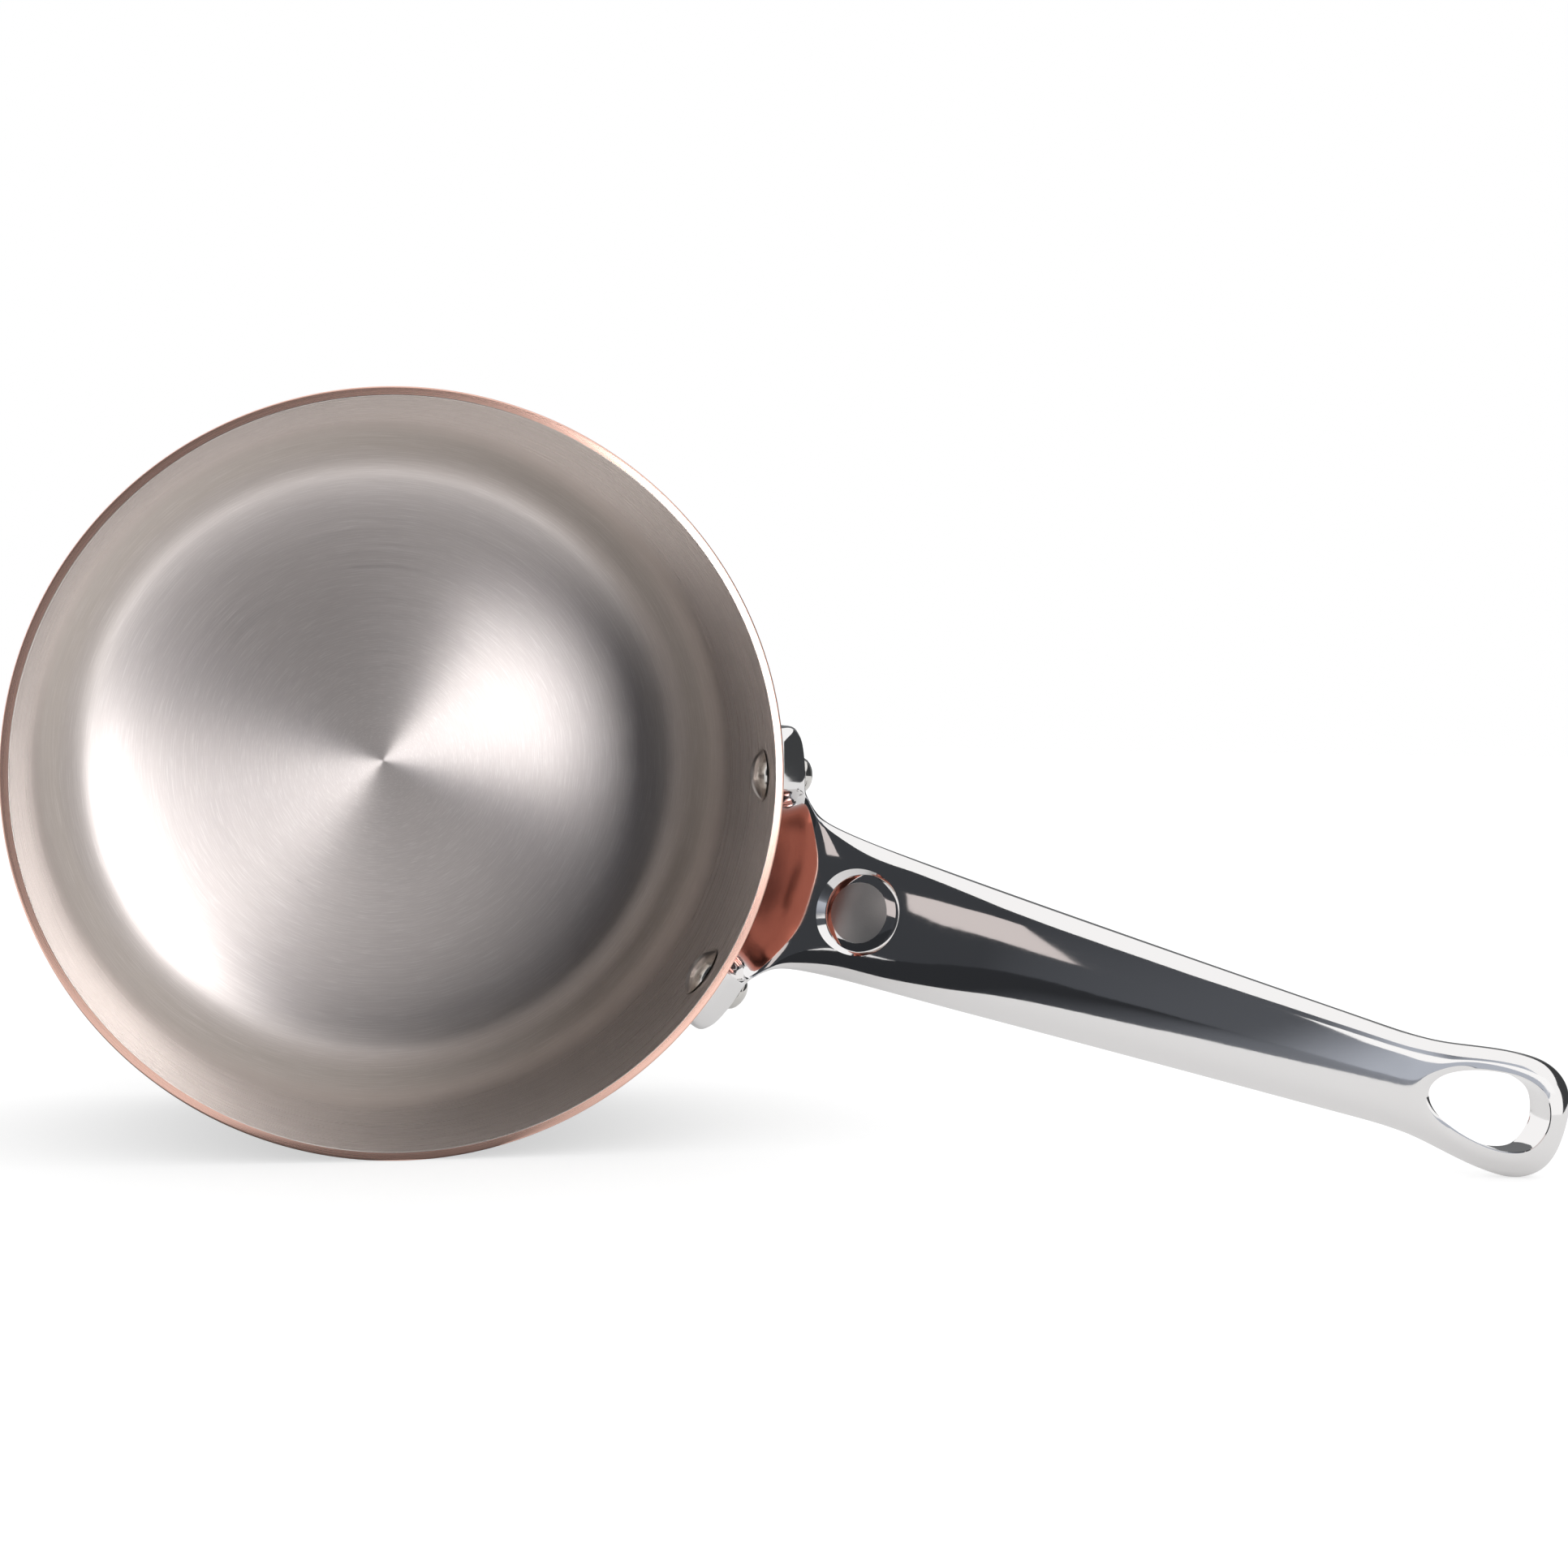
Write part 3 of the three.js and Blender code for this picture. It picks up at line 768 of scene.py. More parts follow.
# %% Outer head
OUTER_HEAD_RADIUS = 4.0 * MM
OUTER_HEAD_HEIGHT = 2.4 * MM
OUTER_HEAD_STEPS = 6
LAST_FLAT = 0.05
HEAD_ROUNDING = 0.35 * MM
HEAD_BAND = 0.01 * MM
RIVET_CRISP = 40


def widen(share):
    """Scales what is picked about the rivet's axis."""
    bpy.ops.transform.resize(value=(share, share, 1), center_override=(0, 0, SHANK_LENGTH))


bpy.ops.mesh.extrude_region_move()
widen(OUTER_HEAD_RADIUS / SHANK_RADIUS)
for step in range(OUTER_HEAD_STEPS):
    bow, next_bow = (math.pi / 2 * level / OUTER_HEAD_STEPS for level in (step, step + 1))
    rise = OUTER_HEAD_HEIGHT * (math.sin(next_bow) - math.sin(bow))
    bpy.ops.mesh.extrude_region_move(TRANSFORM_OT_translate={"value": (0, 0, rise)})
    widen(max(LAST_FLAT, math.cos(next_bow) / math.cos(bow)))
pick(rivet, "EDGE", lambda edge: abs(middle(edge).z) < HEAD_BAND and on_circle(edge, HEAD_RADIUS))
round_edges(HEAD_ROUNDING)
bpy.ops.mesh.select_all(action="SELECT")
bpy.ops.mesh.normals_make_consistent(inside=False)
close_edit()
smooth(rivet, RIVET_CRISP)
print("rivet:", len(rivet.data.polygons), "faces")

# %% [markdown]
# ## Rivets in their holes
# Both rivets are alike, so the second is a copy of the first. Each is laid along X, moved out to its seat on
# the lining and turned about the pot's axis, one to each side of the handle.

# %% Set the rivets
RIVET_ANGLE = 16.8
RIVET_HEIGHT = 77.5 * MM

rivet_twin = rivet.copy()
rivet_twin.data = rivet.data.copy()
rivet_twin.name = "rivet_right_solid"
rivet_twin.data.name = "rivet_right_solid"
bpy.context.scene.collection.objects.link(rivet_twin)
for piece, angle in ((rivet, RIVET_ANGLE), (rivet_twin, -RIVET_ANGLE)):
    lay_down = Matrix.Rotation(math.pi / 2, 4, "Y")
    outwards = Matrix.Translation((RIVET_SEAT, 0, RIVET_HEIGHT))
    piece.data.transform(Matrix.Rotation(math.radians(angle), 4, "Z") @ outwards @ lay_down)
print("rivets at", RIVET_ANGLE, "degrees on each side of the handle")

# %% [markdown]
# ## Pieces and their solids
# Each piece rides on the pan's one body, and the solid that it was built around is hidden.

# %% Ride on the body and hide the solids
PIECES = (
    (copper_shell, "copper_body", "copper"),
    (lining_skin, "steel_lining", "lining_steel"),
    (handle, "handle", "handle_steel"),
    (rivet, "rivet_left", "rivet_steel"),
    (rivet_twin, "rivet_right", "rivet_steel"),
)
for piece, node, slot in PIECES:
    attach(piece, "root")
    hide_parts(node)
    print(piece.name, "stands for", node)

# %% [markdown]
# ## Finishes as sums
# A finish is a network of shader nodes. Written as Python expressions it stays readable: a small class wraps
# a socket, so that adding or multiplying two of them makes the Math node that does it. Every other node comes
# from one method, which sets the node's options first and its sockets after.

# %% Sockets in expressions
class Socket:
    """A node's output that can be used in a sum."""

    def __init__(self, nodes, output):
        self.nodes = nodes
        self.output = output

    def out(self, name):
        """Another output of the same node."""
        return Socket(self.nodes, self.output.node.outputs[name])

    def _math(self, operation, first, second):
        return self.nodes.node("ShaderNodeMath", {"operation": operation}, {0: first, 1: second})

    def __add__(self, other):
        return self._math("ADD", self, other)

    def __radd__(self, other):
        return self._math("ADD", other, self)

    def __sub__(self, other):
        return self._math("SUBTRACT", self, other)

    def __rsub__(self, other):
        return self._math("SUBTRACT", other, self)

    def __mul__(self, other):
        return self._math("MULTIPLY", self, other)

    def __rmul__(self, other):
        return self._math("MULTIPLY", other, self)

    def __truediv__(self, other):
        return self._math("DIVIDE", self, other)

    def __rtruediv__(self, other):
        return self._math("DIVIDE", other, self)

    def __pow__(self, other):
        return self._math("POWER", self, other)

    def __rpow__(self, other):
        return self._math("POWER", other, self)


class Nodes:
    """A node tree that nodes are added to."""

    def __init__(self, tree):
        self.tree = tree
        self.tree.nodes.clear()

    def node(self, kind, settings=None, sockets=None, out=0):
        """Adds a node: its options, then the values or links of its sockets. Returns one of its outputs."""
        node = self.tree.nodes.new(kind)
        for name, value in (settings or {}).items():
            setattr(node, name, value)
        for name, value in (sockets or {}).items():
            if isinstance(value, Socket):
                self.tree.links.new(value.output, node.inputs[name])
            else:
                node.inputs[name].default_value = value
        return Socket(self, node.outputs[out]) if len(node.outputs) else None


print("finishes that came with the solids:", len(bpy.data.materials))

# %% [markdown]
# ## Words for finishes
# A few short functions say what a finish needs again and again: noise, a share that rises between two
# values, a colour between two others, and a bump. What is the same all over a piece is a plain number on the
# shader. What varies over it goes to colour, roughness, metal or bump, which can all be baked into pictures.

# %% Helpers for finishes
def new_finish(name):
    """A material with an empty node tree."""
    material = bpy.data.materials.new(name)
    material.use_nodes = True
    return material, Nodes(material.node_tree)


def wear(piece, material):
    """Gives a piece one finish all over."""
    piece.data.materials.clear()
    piece.data.materials.append(material)


def full(colour):
    """A colour as sockets take it: three numbers get a fourth, for full cover."""
    return colour if isinstance(colour, Socket) else (*colour, 1)


def blend(nodes, share, first, second):
    """A colour between two, by a share from 0 to 1. Each colour is three numbers or a socket."""
    sockets = {0: share, 6: full(first), 7: full(second)}
    return nodes.node("ShaderNodeMix", {"data_type": "RGBA"}, sockets, 2)


def rising(nodes, value, low, high, easing="LINEAR"):
    """A share that rises from 0 to 1 while a value goes from low to high."""
    sockets = {"Value": value, "From Min": low, "From Max": high}
    return nodes.node("ShaderNodeMapRange", {"interpolation_type": easing}, sockets)


def noise(nodes, place, scale, detail, harshness=0.5):
    """Noise from 0 to 1 at a place: its scale, its finer layers and how strong these are."""
    sockets = {"Vector": place, "Scale": scale, "Detail": detail, "Roughness": harshness}
    return nodes.node("ShaderNodeTexNoise", {"noise_dimensions": "3D"}, sockets, "Fac")


def bump(nodes, height, depth):
    """Lifts the surface by a height from 0 to 1, over this depth in metres."""
    sockets = {"Height": height, "Distance": depth, "Strength": 1.0}
    return nodes.node("ShaderNodeBump", sockets=sockets, out="Normal")


def metal(nodes, colour, roughness, normal, **others):
    """The metal shader and the output. Other sockets are named with _ for a space."""
    sockets = {"Metallic": 1.0, "Base Color": full(colour), "Roughness": roughness, "Normal": normal}
    sockets.update({name.replace("_", " "): value for name, value in others.items()})
    shader = nodes.node("ShaderNodeBsdfPrincipled", sockets=sockets)
    nodes.node("ShaderNodeOutputMaterial", sockets={"Surface": shader})


print("pieces that need a finish:", len(PIECES))

# %% [markdown]
# ## Turned metal
# Lining and copper were both finished on a lathe, with an abrasive pad that leaves fine rings about the axis.
# The rings are noise stretched along the turn: it runs fast along the profile, from the middle of the floor
# out and up the wall, and slowly around it. They shift roughness and colour a little and lift the surface.
# The rings also pull a highlight out across themselves, which the shader's own anisotropy does.

# %% Rings about the axis
RING_DETAIL = 3.0
RING_HARSHNESS = 0.6
OFF_AXIS = 1e-6
ACROSS_RINGS = 0.25


def turned_rings(nodes, spacing, run):
    """Noise in rings about the axis: their spacing in metres, and how fast they change along the turn."""
    place = nodes.node("ShaderNodeTexCoord", out="Object")
    x = nodes.node("ShaderNodeSeparateXYZ", sockets={0: place})
    y, z = x.out("Y"), x.out("Z")
    radius = (x * x + y * y) ** 0.5 + OFF_AXIS
    path = (radius + z) / spacing
    turn = {0: x / radius * run, 1: y / radius * run, 2: path}
    unrolled = nodes.node("ShaderNodeCombineXYZ", sockets=turn)
    return noise(nodes, unrolled, 1.0, RING_DETAIL, RING_HARSHNESS)


def height_share(nodes, low, high):
    """A share that rises from 0 to 1 between two heights above the base."""
    place = nodes.node("ShaderNodeTexCoord", out="Object")
    z = nodes.node("ShaderNodeSeparateXYZ", sockets={0: place}, out="Z")
    return rising(nodes, z, low, high)


print("highlights are drawn out at", round(360 * ACROSS_RINGS), "degrees to the rings")

# %% [markdown]
# ## Lining finish
# Floor, foot and wall of the lining met the pad differently: the foot is the dullest and the wall the most
# even and bright. So tone and roughness are blended by height. Over them lie short pale strokes, where the
# pad last touched the steel.

# %% Lining finish
FOOT_LOW, FOOT_HIGH = 4.2 * MM, 11 * MM
WALL_LOW, WALL_HIGH = 14 * MM, 40 * MM
FLOOR_DARK, FLOOR_PALE = (0.65, 0.595, 0.577), (0.79, 0.724, 0.703)
WALL_DARK, WALL_PALE = (0.63, 0.58, 0.542), (0.74, 0.68, 0.635)
STROKE_TONE = (0.97, 0.92, 0.9)
STROKE_LOW, STROKE_HIGH = 0.5, 0.72
STROKE_COVER = 0.42
LINING_ROUGHNESS = 0.255
RINGS_ROUGHEN, FOOT_ROUGHENS, WALL_SMOOTHS = 0.1, 0.315, 0.34
WALL_EVENS = 0.7
RING_RELIEF = 0.004 * MM

lining_steel, nodes = new_finish("turned lining steel")
fine = turned_rings(nodes, spacing=0.35 * MM, run=1.4)
broad = turned_rings(nodes, spacing=3.0 * MM, run=2.2)
strokes = turned_rings(nodes, spacing=0.2 * MM, run=8.0)
foot = height_share(nodes, FOOT_LOW, FOOT_HIGH)
wall = height_share(nodes, WALL_LOW, WALL_HIGH)
rings = (broad + fine) / 2
floor_tone = blend(nodes, rings, FLOOR_DARK, FLOOR_PALE)
wall_tone = blend(nodes, rings, WALL_DARK, WALL_PALE)
marks = STROKE_COVER * rising(nodes, strokes, STROKE_LOW, STROKE_HIGH)
metal(
    nodes,
    blend(nodes, marks, blend(nodes, foot, floor_tone, wall_tone), STROKE_TONE),
    LINING_ROUGHNESS + RINGS_ROUGHEN * fine + FOOT_ROUGHENS * foot - WALL_SMOOTHS * wall,
    bump(nodes, fine * (1 - WALL_EVENS * wall), RING_RELIEF),
    Anisotropic=0.85,
    Anisotropic_Rotation=ACROSS_RINGS,
)
wear(lining_skin, lining_steel)
print("finish:", lining_steel.name)

# %% [markdown]
# ## Copper finish
# The copper has the same rings, finer and smoother. Its outside has darkened a little, in broad bands. The
# lip was dressed last and is bare, pale and slightly duller, so the top fraction of a millimetre gets a tone
# and a roughness of its own.

# %% Copper finish
LIP = 0.3 * MM
COPPER_DARK, COPPER_PALE = (0.37, 0.105, 0.07), (0.48, 0.155, 0.108)
LIP_TONE = (0.92, 0.58, 0.48)
COPPER_ROUGHNESS = 0.12
RINGS_DULL, LIP_DULLS = 0.12, 0.1
LIP_VEIL = 0.1

copper_finish, nodes = new_finish("satin copper")
fine = turned_rings(nodes, spacing=0.3 * MM, run=1.2)
broad = turned_rings(nodes, spacing=8.0 * MM, run=1.6)
lip = height_share(nodes, POT_HEIGHT - 2 * LIP, POT_HEIGHT - LIP)
copper_tone = blend(nodes, broad, COPPER_DARK, COPPER_PALE)
metal(
    nodes,
    blend(nodes, lip, copper_tone, LIP_TONE),
    COPPER_ROUGHNESS + RINGS_DULL * fine + LIP_DULLS * lip,
    bump(nodes, fine, RING_RELIEF),
    Metallic=1 - LIP_VEIL * lip,
    Anisotropic=0.65,
    Anisotropic_Rotation=ACROSS_RINGS,
)
wear(copper_shell, copper_finish)
print("finish:", copper_finish.name)

# %% [markdown]
# ## Polished steel
# The handle is polished along its length with finer and finer wheels. What is left is a mirror with a faint
# haze, drawn out along the handle, and a slow waviness that bends the mirrored edges. The round spot is not
# polished but blasted, so it is dull and grey.

# %% Handle finish
ALONG_HANDLE = (0.12, 1.0, 1.0)
STREAK_SCALE, WAVE_SCALE, GRAIN_SCALE = 1500.0, 160.0, 2500.0
MIRROR_TONE, SPOT_TONE = (0.9, 0.885, 0.88), (0.72, 0.71, 0.7)
SPOT_BLUR = 0.1 * MM
MIRROR_ROUGHNESS = 0.03
STREAKS_HAZE, SPOT_DULLS = 0.06, 0.34
STREAK_HEIGHT = 0.04
HANDLE_RELIEF = 0.03 * MM

polished_steel, nodes = new_finish("polished steel")
place = nodes.node("ShaderNodeTexCoord", out="Object")
drawn_out = nodes.node("ShaderNodeVectorMath", {"operation": "MULTIPLY"}, {0: place, 1: ALONG_HANDLE})
streaks = noise(nodes, drawn_out, STREAK_SCALE, detail=3.0)
waves = noise(nodes, drawn_out, WAVE_SCALE, detail=1.0)
grain = noise(nodes, place, GRAIN_SCALE, detail=3.0)
away = nodes.node("ShaderNodeVectorMath", {"operation": "DISTANCE"}, {0: place, 1: spot_place}, "Value")
dull = rising(nodes, away, SPOT_RADIUS + SPOT_BLUR, SPOT_RADIUS - SPOT_BLUR)
relief = (1 - dull) * (STREAK_HEIGHT * streaks + waves) + dull * grain
metal(
    nodes,
    blend(nodes, dull, MIRROR_TONE, SPOT_TONE),
    MIRROR_ROUGHNESS + STREAKS_HAZE * streaks + SPOT_DULLS * dull,
    bump(nodes, relief, HANDLE_RELIEF),
)
wear(handle, polished_steel)
print("finish:", polished_steel.name)

# %% [markdown]
# ## Rivet steel
# The rivets were struck and then buffed in place. They mirror less clearly than the handle: a fine haze in
# all directions roughens them and lifts the surface a little.

# %% Rivet finish
RIVET_TONE = (0.74, 0.72, 0.69)
RIVET_ROUGHNESS = 0.05
HAZE_ROUGHENS = 0.1
HAZE_SCALE = 700.0
HAZE_RELIEF = 0.006 * MM

satin_steel, nodes = new_finish("satin rivet steel")
haze = noise(nodes, nodes.node("ShaderNodeTexCoord", out="Object"), HAZE_SCALE, detail=4.0)
metal(nodes, RIVET_TONE, RIVET_ROUGHNESS + HAZE_ROUGHENS * haze, bump(nodes, haze, HAZE_RELIEF))
for piece in (rivet, rivet_twin):
    wear(piece, satin_steel)
print("finishes:", [material.name for material in bpy.data.materials])

# %% [markdown]
# ## Camera
# The photograph was taken from above the pan's mouth, a little to the left of it. Place and axes were worked
# out from the rim's ellipse, the floor's centre and the handle's outline. A last small turn about the pot's
# axis brought the handle to its place in the picture.

# %% Camera
CAMERA_TURN_DEGREES = -0.33
CAMERA_PLACE = Vector((-37.39, 11.74, 575.45))
PICTURE_RIGHT = Vector((0.9266, 0.2987, 0.2284))
PICTURE_DOWN = Vector((0.2955, -0.9541, 0.049))
SENSOR_WIDTH = 36
LENS = 52.17
NEAREST_SEEN = 10 * MM

camera_turn = Matrix.Rotation(math.radians(CAMERA_TURN_DEGREES), 3, "Z")
camera_place = camera_turn @ CAMERA_PLACE * MM
camera_right = camera_turn @ PICTURE_RIGHT.normalized()
camera_forward = camera_right.cross(camera_turn @ PICTURE_DOWN).normalized()
camera_up = camera_right.cross(camera_forward)
to_camera = -camera_forward
camera_data = bpy.data.cameras.new("camera")
camera_data.sensor_width = SENSOR_WIDTH
camera_data.lens = LENS
camera_data.clip_start = NEAREST_SEEN
camera = bpy.data.objects.new("camera", camera_data)
bpy.context.scene.collection.objects.link(camera)
axes = Matrix((camera_right, camera_up, to_camera)).transposed()
camera.matrix_world = Matrix.Translation(camera_place) @ axes.to_4x4()
bpy.context.scene.camera = camera
print("camera", round((camera_place.z - POT_HEIGHT) / MM), "mm above the rim")

# %% [markdown]
# ## Floor: where it lies
# In the photograph the pan lies on its side: it rests on its wall and on the loop. The pan keeps its own
# frame here, so the floor is the plane that touches both. Its lean is found by halving: too steep, and the
# handle would reach through it.

# %% Find the floor
LEAN_LIMIT = math.radians(40)
HALVINGS = 40

handle_plan = np.array([(vertex.co.x, vertex.co.y) for vertex in handle.data.vertices])
lean_low, lean_high = 0.0, LEAN_LIMIT
for _ in range(HALVINGS):
    lean = (lean_low + lean_high) / 2
    if (handle_plan @ np.array((-math.sin(lean), math.cos(lean)))).min() > -POT_RADIUS:
        lean_low = lean
    else:
        lean_high = lean
floor_up = Vector((-math.sin(lean), math.cos(lean), 0))
floor_along = floor_up.cross(UPWARDS)
floor_towards = floor_along.cross(floor_up)


def on_floor(across, towards, lift=0.0):
    """A point of the floor: across it, towards the camera, and a little above it."""
    return (lift - POT_RADIUS) * floor_up + across * floor_along + towards * floor_towards


print("the floor leans", round(math.degrees(lean), 1), "degrees to the handle")

# %% [markdown]
# ## Floor: what it is
# A white table top, lit so well that it is nearly as white as paper. Paint alone would need far more light
# than the pan can take, so the floor also glows a little by itself, fully to the camera and less in what
# metal mirrors. It is seen only from above. From below it lets light and camera through, so that the pan can
# be looked at from every side.

# %% Lay the floor
FLOOR_REACH = 3.0
FLOOR_PAINT = (0.6, 0.6, 0.6)
FLOOR_GLOW = 0.55
GLOW_IN_METAL = 0.4


def add_sheet(name, corners):
    """A flat sheet of the stage: its corners at the lower left, lower right, upper left and upper right."""
    sheet = start(name, bpy.ops.mesh.primitive_plane_add, size=2)
    mesh = bmesh.from_edit_mesh(sheet.data)
    in_rows = sorted(mesh.verts, key=lambda vertex: (vertex.co.y, vertex.co.x))
    for vertex, corner in zip(in_rows, corners):
        vertex.co = corner
    bmesh.update_edit_mesh(sheet.data)
    close_edit()
    return sheet


reaches = (-FLOOR_REACH, FLOOR_REACH)
floor = add_sheet("floor", [on_floor(across, -back) for back in reaches for across in reaches])
floor_white, nodes = new_finish("white floor")
painted = nodes.node("ShaderNodeBsdfDiffuse", sockets={"Color": full(FLOOR_PAINT)})
seen = nodes.node("ShaderNodeLightPath", out="Is Camera Ray")
mirrored = seen.out("Is Glossy Ray") + seen.out("Is Transmission Ray")
shine = FLOOR_GLOW * (seen + GLOW_IN_METAL * mirrored)
glowing = nodes.node("ShaderNodeEmission", sockets={"Color": shine, "Strength": 1.0})
white = nodes.node("ShaderNodeAddShader", sockets={0: painted, 1: glowing})
clear = nodes.node("ShaderNodeBsdfTransparent")
behind = nodes.node("ShaderNodeNewGeometry", out="Backfacing")
surface = nodes.node("ShaderNodeMixShader", sockets={0: behind, 1: white, 2: clear})
nodes.node("ShaderNodeOutputMaterial", sockets={"Surface": surface})
wear(floor, floor_white)
print("floor:", 2 * FLOOR_REACH, "m wide")

# %% [markdown]
# ## Studio: the white room
# Polished metal shows what stands around it, so the studio is read off the handle. Most of what the pan
# mirrors is white, and a world of one even white stands for it. No light is aimed yet.

# %% White room
world = bpy.data.worlds.new("studio")
bpy.context.scene.world = world
world.use_nodes = True
nodes = Nodes(world.node_tree)
sky = nodes.node("ShaderNodeBackground", sockets={"Color": (1, 1, 1, 1), "Strength": 1.0})
nodes.node("ShaderNodeOutputWorld", sockets={"Surface": sky})
print("world:", world.name)

# %% [markdown]
# ## Studio: hanging cards
# What else the handle mirrors is hung up as cards: flat sheets that shine evenly by themselves, dark or pale.
# A card can have any outline, which a lamp can't. Only reflections see it, so it takes no light away from
# anything. Corners are given as they are seen from the middle of the grip: across the picture, up it, and
# towards the camera.

# %% How a card is hung
GRIP_DISTANCE = 85 * MM
GRIP_HEIGHT = 115 * MM
grip_middle = Vector((POT_RADIUS + GRIP_DISTANCE, 0, GRIP_HEIGHT))


def in_studio(across, up, towards):
    """A point as it is seen from the grip: across the picture, up it, and towards the camera."""
    return grip_middle + camera_right * across + camera_up * up + to_camera * towards


def behind_camera(corners, away):
    """Corners on a plane that faces the grip. They are given as if it were 1 m away."""
    return [in_studio(across * away, up * away, away) for across, up in corners]


def shining(nodes, colour, strength=1.0):
    """Finishes a card as a sheet that shines by itself."""
    light = nodes.node("ShaderNodeEmission", sockets={"Color": full(colour), "Strength": strength})
    nodes.node("ShaderNodeOutputMaterial", sockets={"Surface": light})


def glow(name, colour, strength=1.0):
    """A card's own even light."""
    material, nodes = new_finish(name)
    shining(nodes, colour, strength)
    return material


def hang(name, corners, material):
    """Hangs a card that metal shows, but that isn't seen itself, lights nothing dull and casts no shadow."""
    card = add_sheet(name, corners)
    card.visible_camera = False
    card.visible_diffuse = False
    card.visible_shadow = False
    wear(card, material)
    return card


print("grip's middle:", [round(length / MM) for length in grip_middle], "mm")

# %% [markdown]
# ## Studio: the canopy
# Behind the camera hangs a large slate-grey canopy, the dark band along the grip. It gets paler towards the
# lower right, where light from the side falls on it, so its tone rises along that direction. A wing carries
# it on to the right.

# %% Canopy
SLATE = (0.9, 0.96, 1.08)
CANOPY_AWAY = 1.0
CANOPY_CORNERS = ((-2.8, -1.2), (0.45, -1.2), (-2.8, 4.2), (0.45, 0.75))
WING_CORNERS = ((0.45, -1.2), (0.85, -1.2), (0.45, 0.75), (0.85, 0.7))
CANOPY_DARK, CANOPY_RISE, CANOPY_EDGE_RISE = 0.048, 0.05, 0.42
LOWER_RIGHT_SLOPE = 0.5


def lit_from(nodes, direction, first, last):
    """A share that rises from 0 to 1 along a direction of the studio, between two distances from the grip."""
    place = nodes.node("ShaderNodeTexCoord", out="Object")
    dot = {"operation": "DOT_PRODUCT"}
    along = nodes.node("ShaderNodeVectorMath", dot, {0: place, 1: direction}, "Value")
    return rising(nodes, along - grip_middle.dot(direction), first, last, "SMOOTHSTEP")


def slate_cloth(nodes, brightness):
    """Finishes a card in slate grey, as bright as a socket says."""
    tone = nodes.node("ShaderNodeVectorMath", {"operation": "SCALE"}, {0: SLATE, "Scale": brightness})
    shining(nodes, tone)


lower_right = camera_right - LOWER_RIGHT_SLOPE * camera_up
canopy_cloth, nodes = new_finish("slate canopy")
to_right = lit_from(nodes, lower_right, first=-0.3, last=0.3)
to_edge = lit_from(nodes, lower_right, first=0.22, last=0.42)
slate_cloth(nodes, CANOPY_DARK + CANOPY_RISE * to_right + CANOPY_EDGE_RISE * to_edge)
for name, corners in (("canopy", CANOPY_CORNERS), ("canopy_wing", WING_CORNERS)):
    hang(name, behind_camera(corners, CANOPY_AWAY), canopy_cloth)
print("canopy hung", CANOPY_AWAY, "m from the grip")

# %% [markdown]
# ## Studio: panel and window
# In front of the canopy hangs a pale panel, up and to the left, and a bright window shows further to
# the right. On the wide lining both would leave spots that the photograph doesn't have, so light linking
# lets them act on handle and rivets alone.

# %% Panel and window
PANEL_AWAY = 0.98
PANEL_CORNERS = ((-0.95, 0.37), (0.07, 0.13), (-0.95, 0.62), (0.085, 0.52))
PANEL_TONE = (0.66, 0.6, 0.585)
WINDOW_CORNERS = ((0.455, 0.27), (1.0, 0.24), (0.455, 0.46), (1.0, 0.52))
WINDOW_TONE = (1.0, 1.0, 1.0)
WINDOW_STRENGTH = 1.05


def light_only(light, pieces):
    """Lets a lamp or a card shine on these pieces alone."""
    receivers = bpy.data.collections.new("lit by the " + light.name)
    for piece in pieces:
        receivers.objects.link(piece)
    light.light_linking.receiver_collection = receivers


panel = hang("panel", behind_camera(PANEL_CORNERS, PANEL_AWAY), glow("panel light", PANEL_TONE))
window_light = glow("window light", WINDOW_TONE, WINDOW_STRENGTH)
window = hang("window", behind_camera(WINDOW_CORNERS, PANEL_AWAY), window_light)
for card in (panel, window):
    light_only(card, (handle, rivet, rivet_twin))
print("panel and window light", ", ".join(piece.name for piece in (handle, rivet, rivet_twin)))

# %% [markdown]
# ## Studio: backcloth and side flat
# Behind the pan, to the right, hangs a dark cloth, which the far side of the grip and the loop mirror. A
# darker flat stands at the right and joins the cloth to the canopy.

# %% Backcloth and side flat
BACK = -1.1
BACKCLOTH_CORNERS = ((-0.25, -0.2, BACK), (1.4, -0.2, BACK), (-0.25, 1.5, BACK), (1.4, 1.5, BACK))
BACKCLOTH_TONE = (0.16, 0.165, 0.17)
SIDE_CORNERS = ((1.3, -0.3, BACK), (1.3, -0.3, 1.0), (1.3, 1.8, BACK), (1.3, 0.5, 1.0))
SIDE_TONE = (0.05, 0.052, 0.055)

for name, corners, material in (
    ("backcloth", BACKCLOTH_CORNERS, glow("dark backcloth", BACKCLOTH_TONE)),
    ("side_flat", SIDE_CORNERS, glow("dark flat", SIDE_TONE)),
):
    hang(name, [in_studio(*corner) for corner in corners], material)
    print(name, "hung")

# %% [markdown]
# ## Studio: the apron
# The white floor ends a hand's breadth in front of the handle, and the grip mirrors the dark that follows. An
# apron of the same slate lies there, a hair above the floor, where only metal shows it. It gets paler to the
# right, as the canopy does.

# %% Apron
APRON_CORNERS = ((-1.8, 1.2), (0.42, 1.2), (-0.2, -0.11), (0.05, 0.235))
APRON_LIFT = 0.3 * MM
APRON_DARK, APRON_RISE = 0.028, 0.25

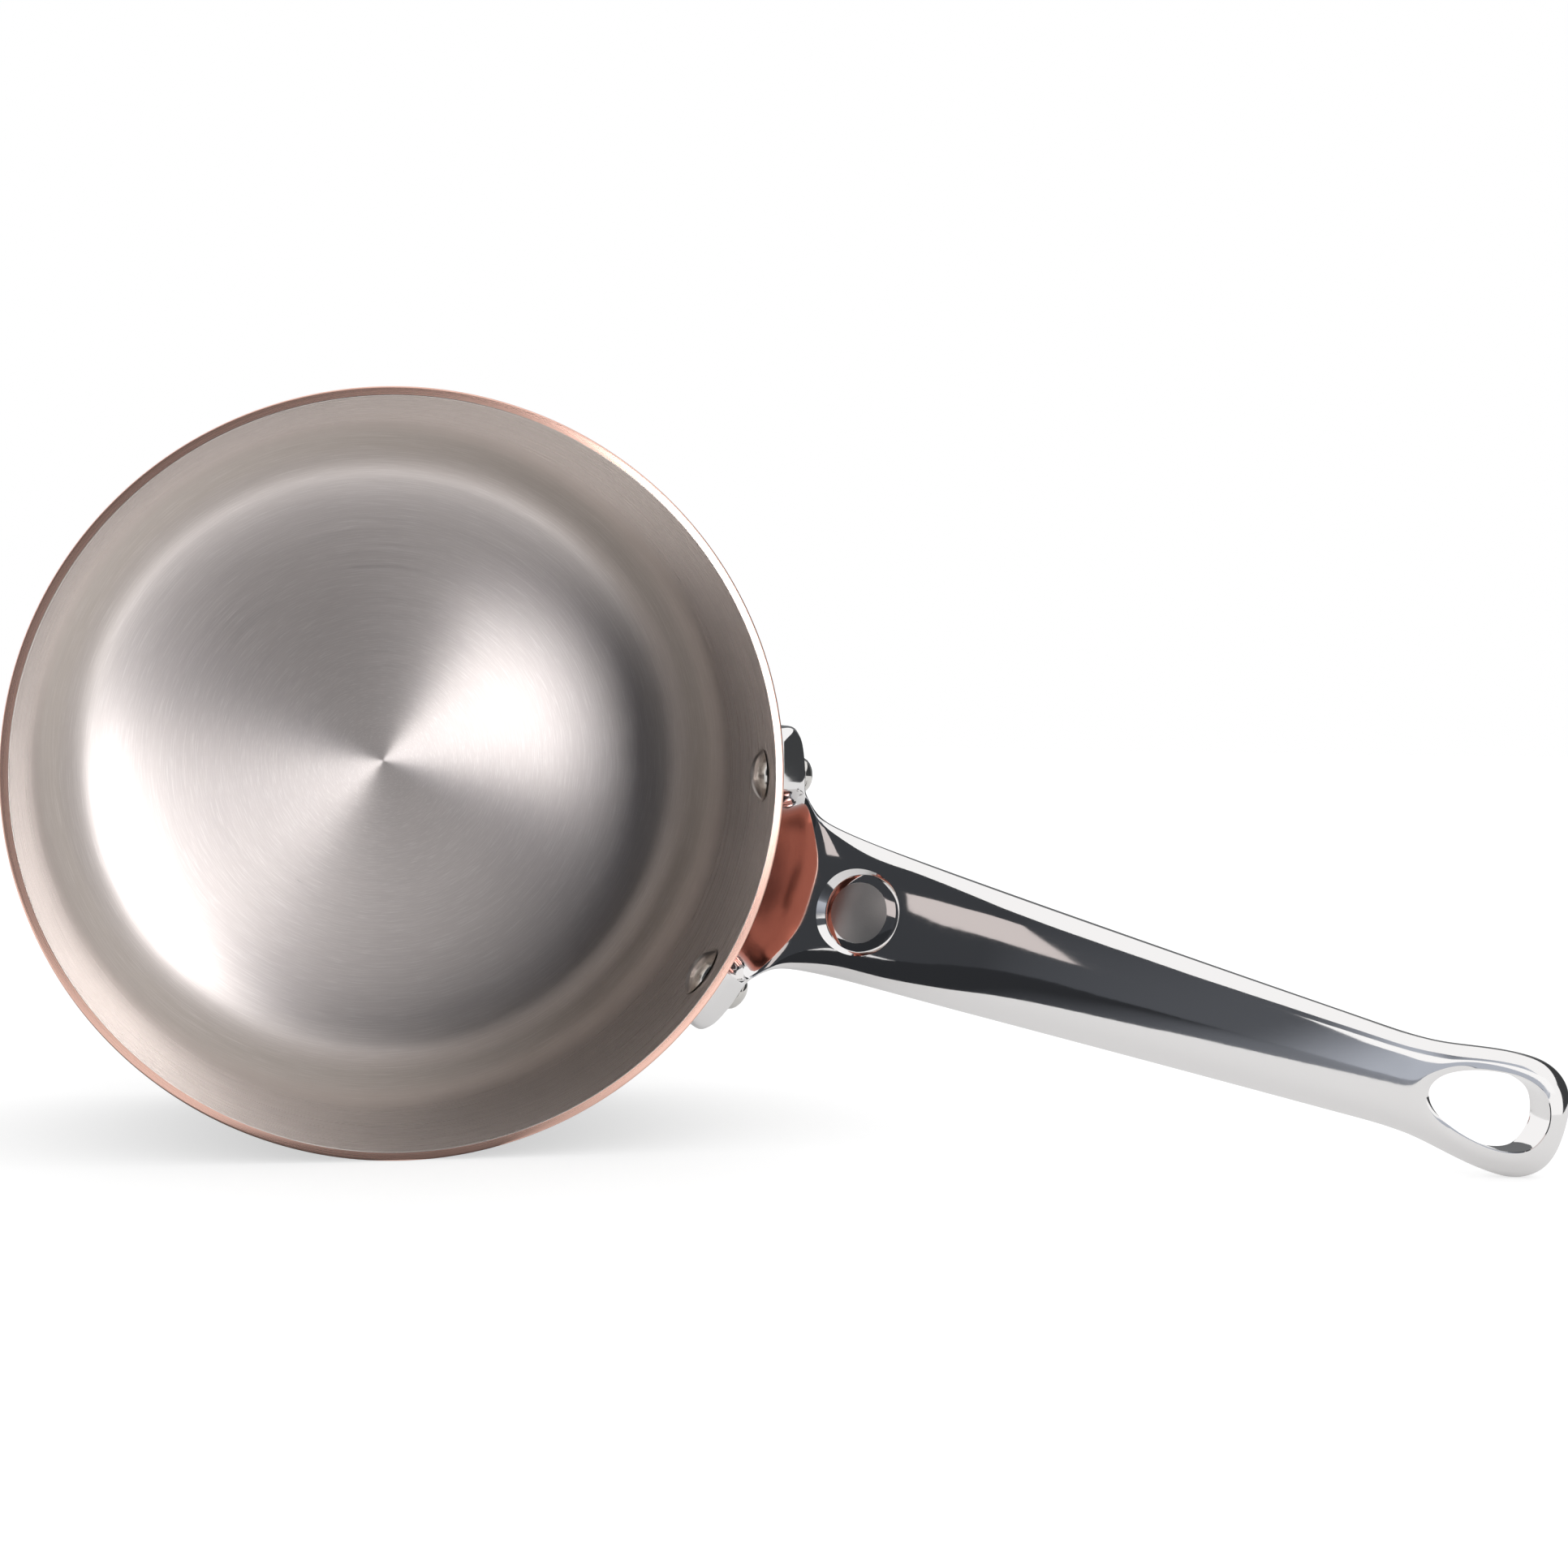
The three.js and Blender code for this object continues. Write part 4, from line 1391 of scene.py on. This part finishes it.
grip_across = grip_middle.dot(floor_along)
grip_towards = grip_middle.dot(floor_towards)
apron_cloth, nodes = new_finish("slate apron")
slate_cloth(nodes, APRON_DARK + APRON_RISE * lit_from(nodes, floor_along, -0.1, 0.1))
apron_corners = [
    on_floor(grip_across + across, grip_towards + towards, APRON_LIFT) for across, towards in APRON_CORNERS
]
hang("apron", apron_corners, apron_cloth)

# %% [markdown]
# ## Lamps
# A softbox to the right of the camera makes the bright fans on the lining's rings. Two weak lamps on the
# floor stand for the light that a white table throws back: one for the lining, one for the copper lip. Each
# is linked to the pieces that it is meant for. The copper itself throws no colour onto the floor, so that the
# shadow under the pan stays grey.

# %% Softbox and bounce
KEY_ACROSS, KEY_UP, KEY_TOWARDS = 0.57, 0.05, 0.82
FLOOR_LAMP_LIFT = 1 * MM


def add_softbox(name, place, facing, size, brightness):
    """A soft rectangular lamp at a place, facing a direction. The camera doesn't see it."""
    lamp = bpy.data.lights.new(name, "AREA")
    lamp.shape = "RECTANGLE"
    lamp.size, lamp.size_y = size
    lamp.energy = brightness * math.pi * size[0] * size[1]
    softbox = bpy.data.objects.new(name, lamp)
    bpy.context.scene.collection.objects.link(softbox)
    softbox.visible_camera = False
    back = -facing.normalized()
    across = (camera_right - camera_right.dot(back) * back).normalized()
    axes = Matrix((across, back.cross(across), back)).transposed()
    softbox.matrix_world = Matrix.Translation(place) @ axes.to_4x4()
    return softbox


def beyond_rim(across, towards):
    """A place just above the floor, in front of the pot's mouth."""
    return on_floor(across, POT_HEIGHT + towards, FLOOR_LAMP_LIFT)


rim_middle = Vector((0, 0, POT_HEIGHT))
key_place = rim_middle + KEY_ACROSS * camera_right + KEY_UP * camera_up + KEY_TOWARDS * to_camera
key = add_softbox("key", key_place, rim_middle - key_place, size=(0.24, 0.5), brightness=7.8)
bounce = add_softbox("bounce", beyond_rim(0.13, 0.16), floor_up, size=(0.42, 0.24), brightness=1.25)
lip_bounce = add_softbox("lip_bounce", beyond_rim(-0.05, 0.12), floor_up, size=(0.42, 0.2), brightness=0.8)
light_only(key, (lining_skin, copper_shell, rivet, rivet_twin))
light_only(bounce, (lining_skin,))
light_only(lip_bounce, (copper_shell,))
copper_shell.visible_diffuse = False
bpy.context.scene.view_settings.view_transform = "Standard"
print("lamps:", len(bpy.data.lights))
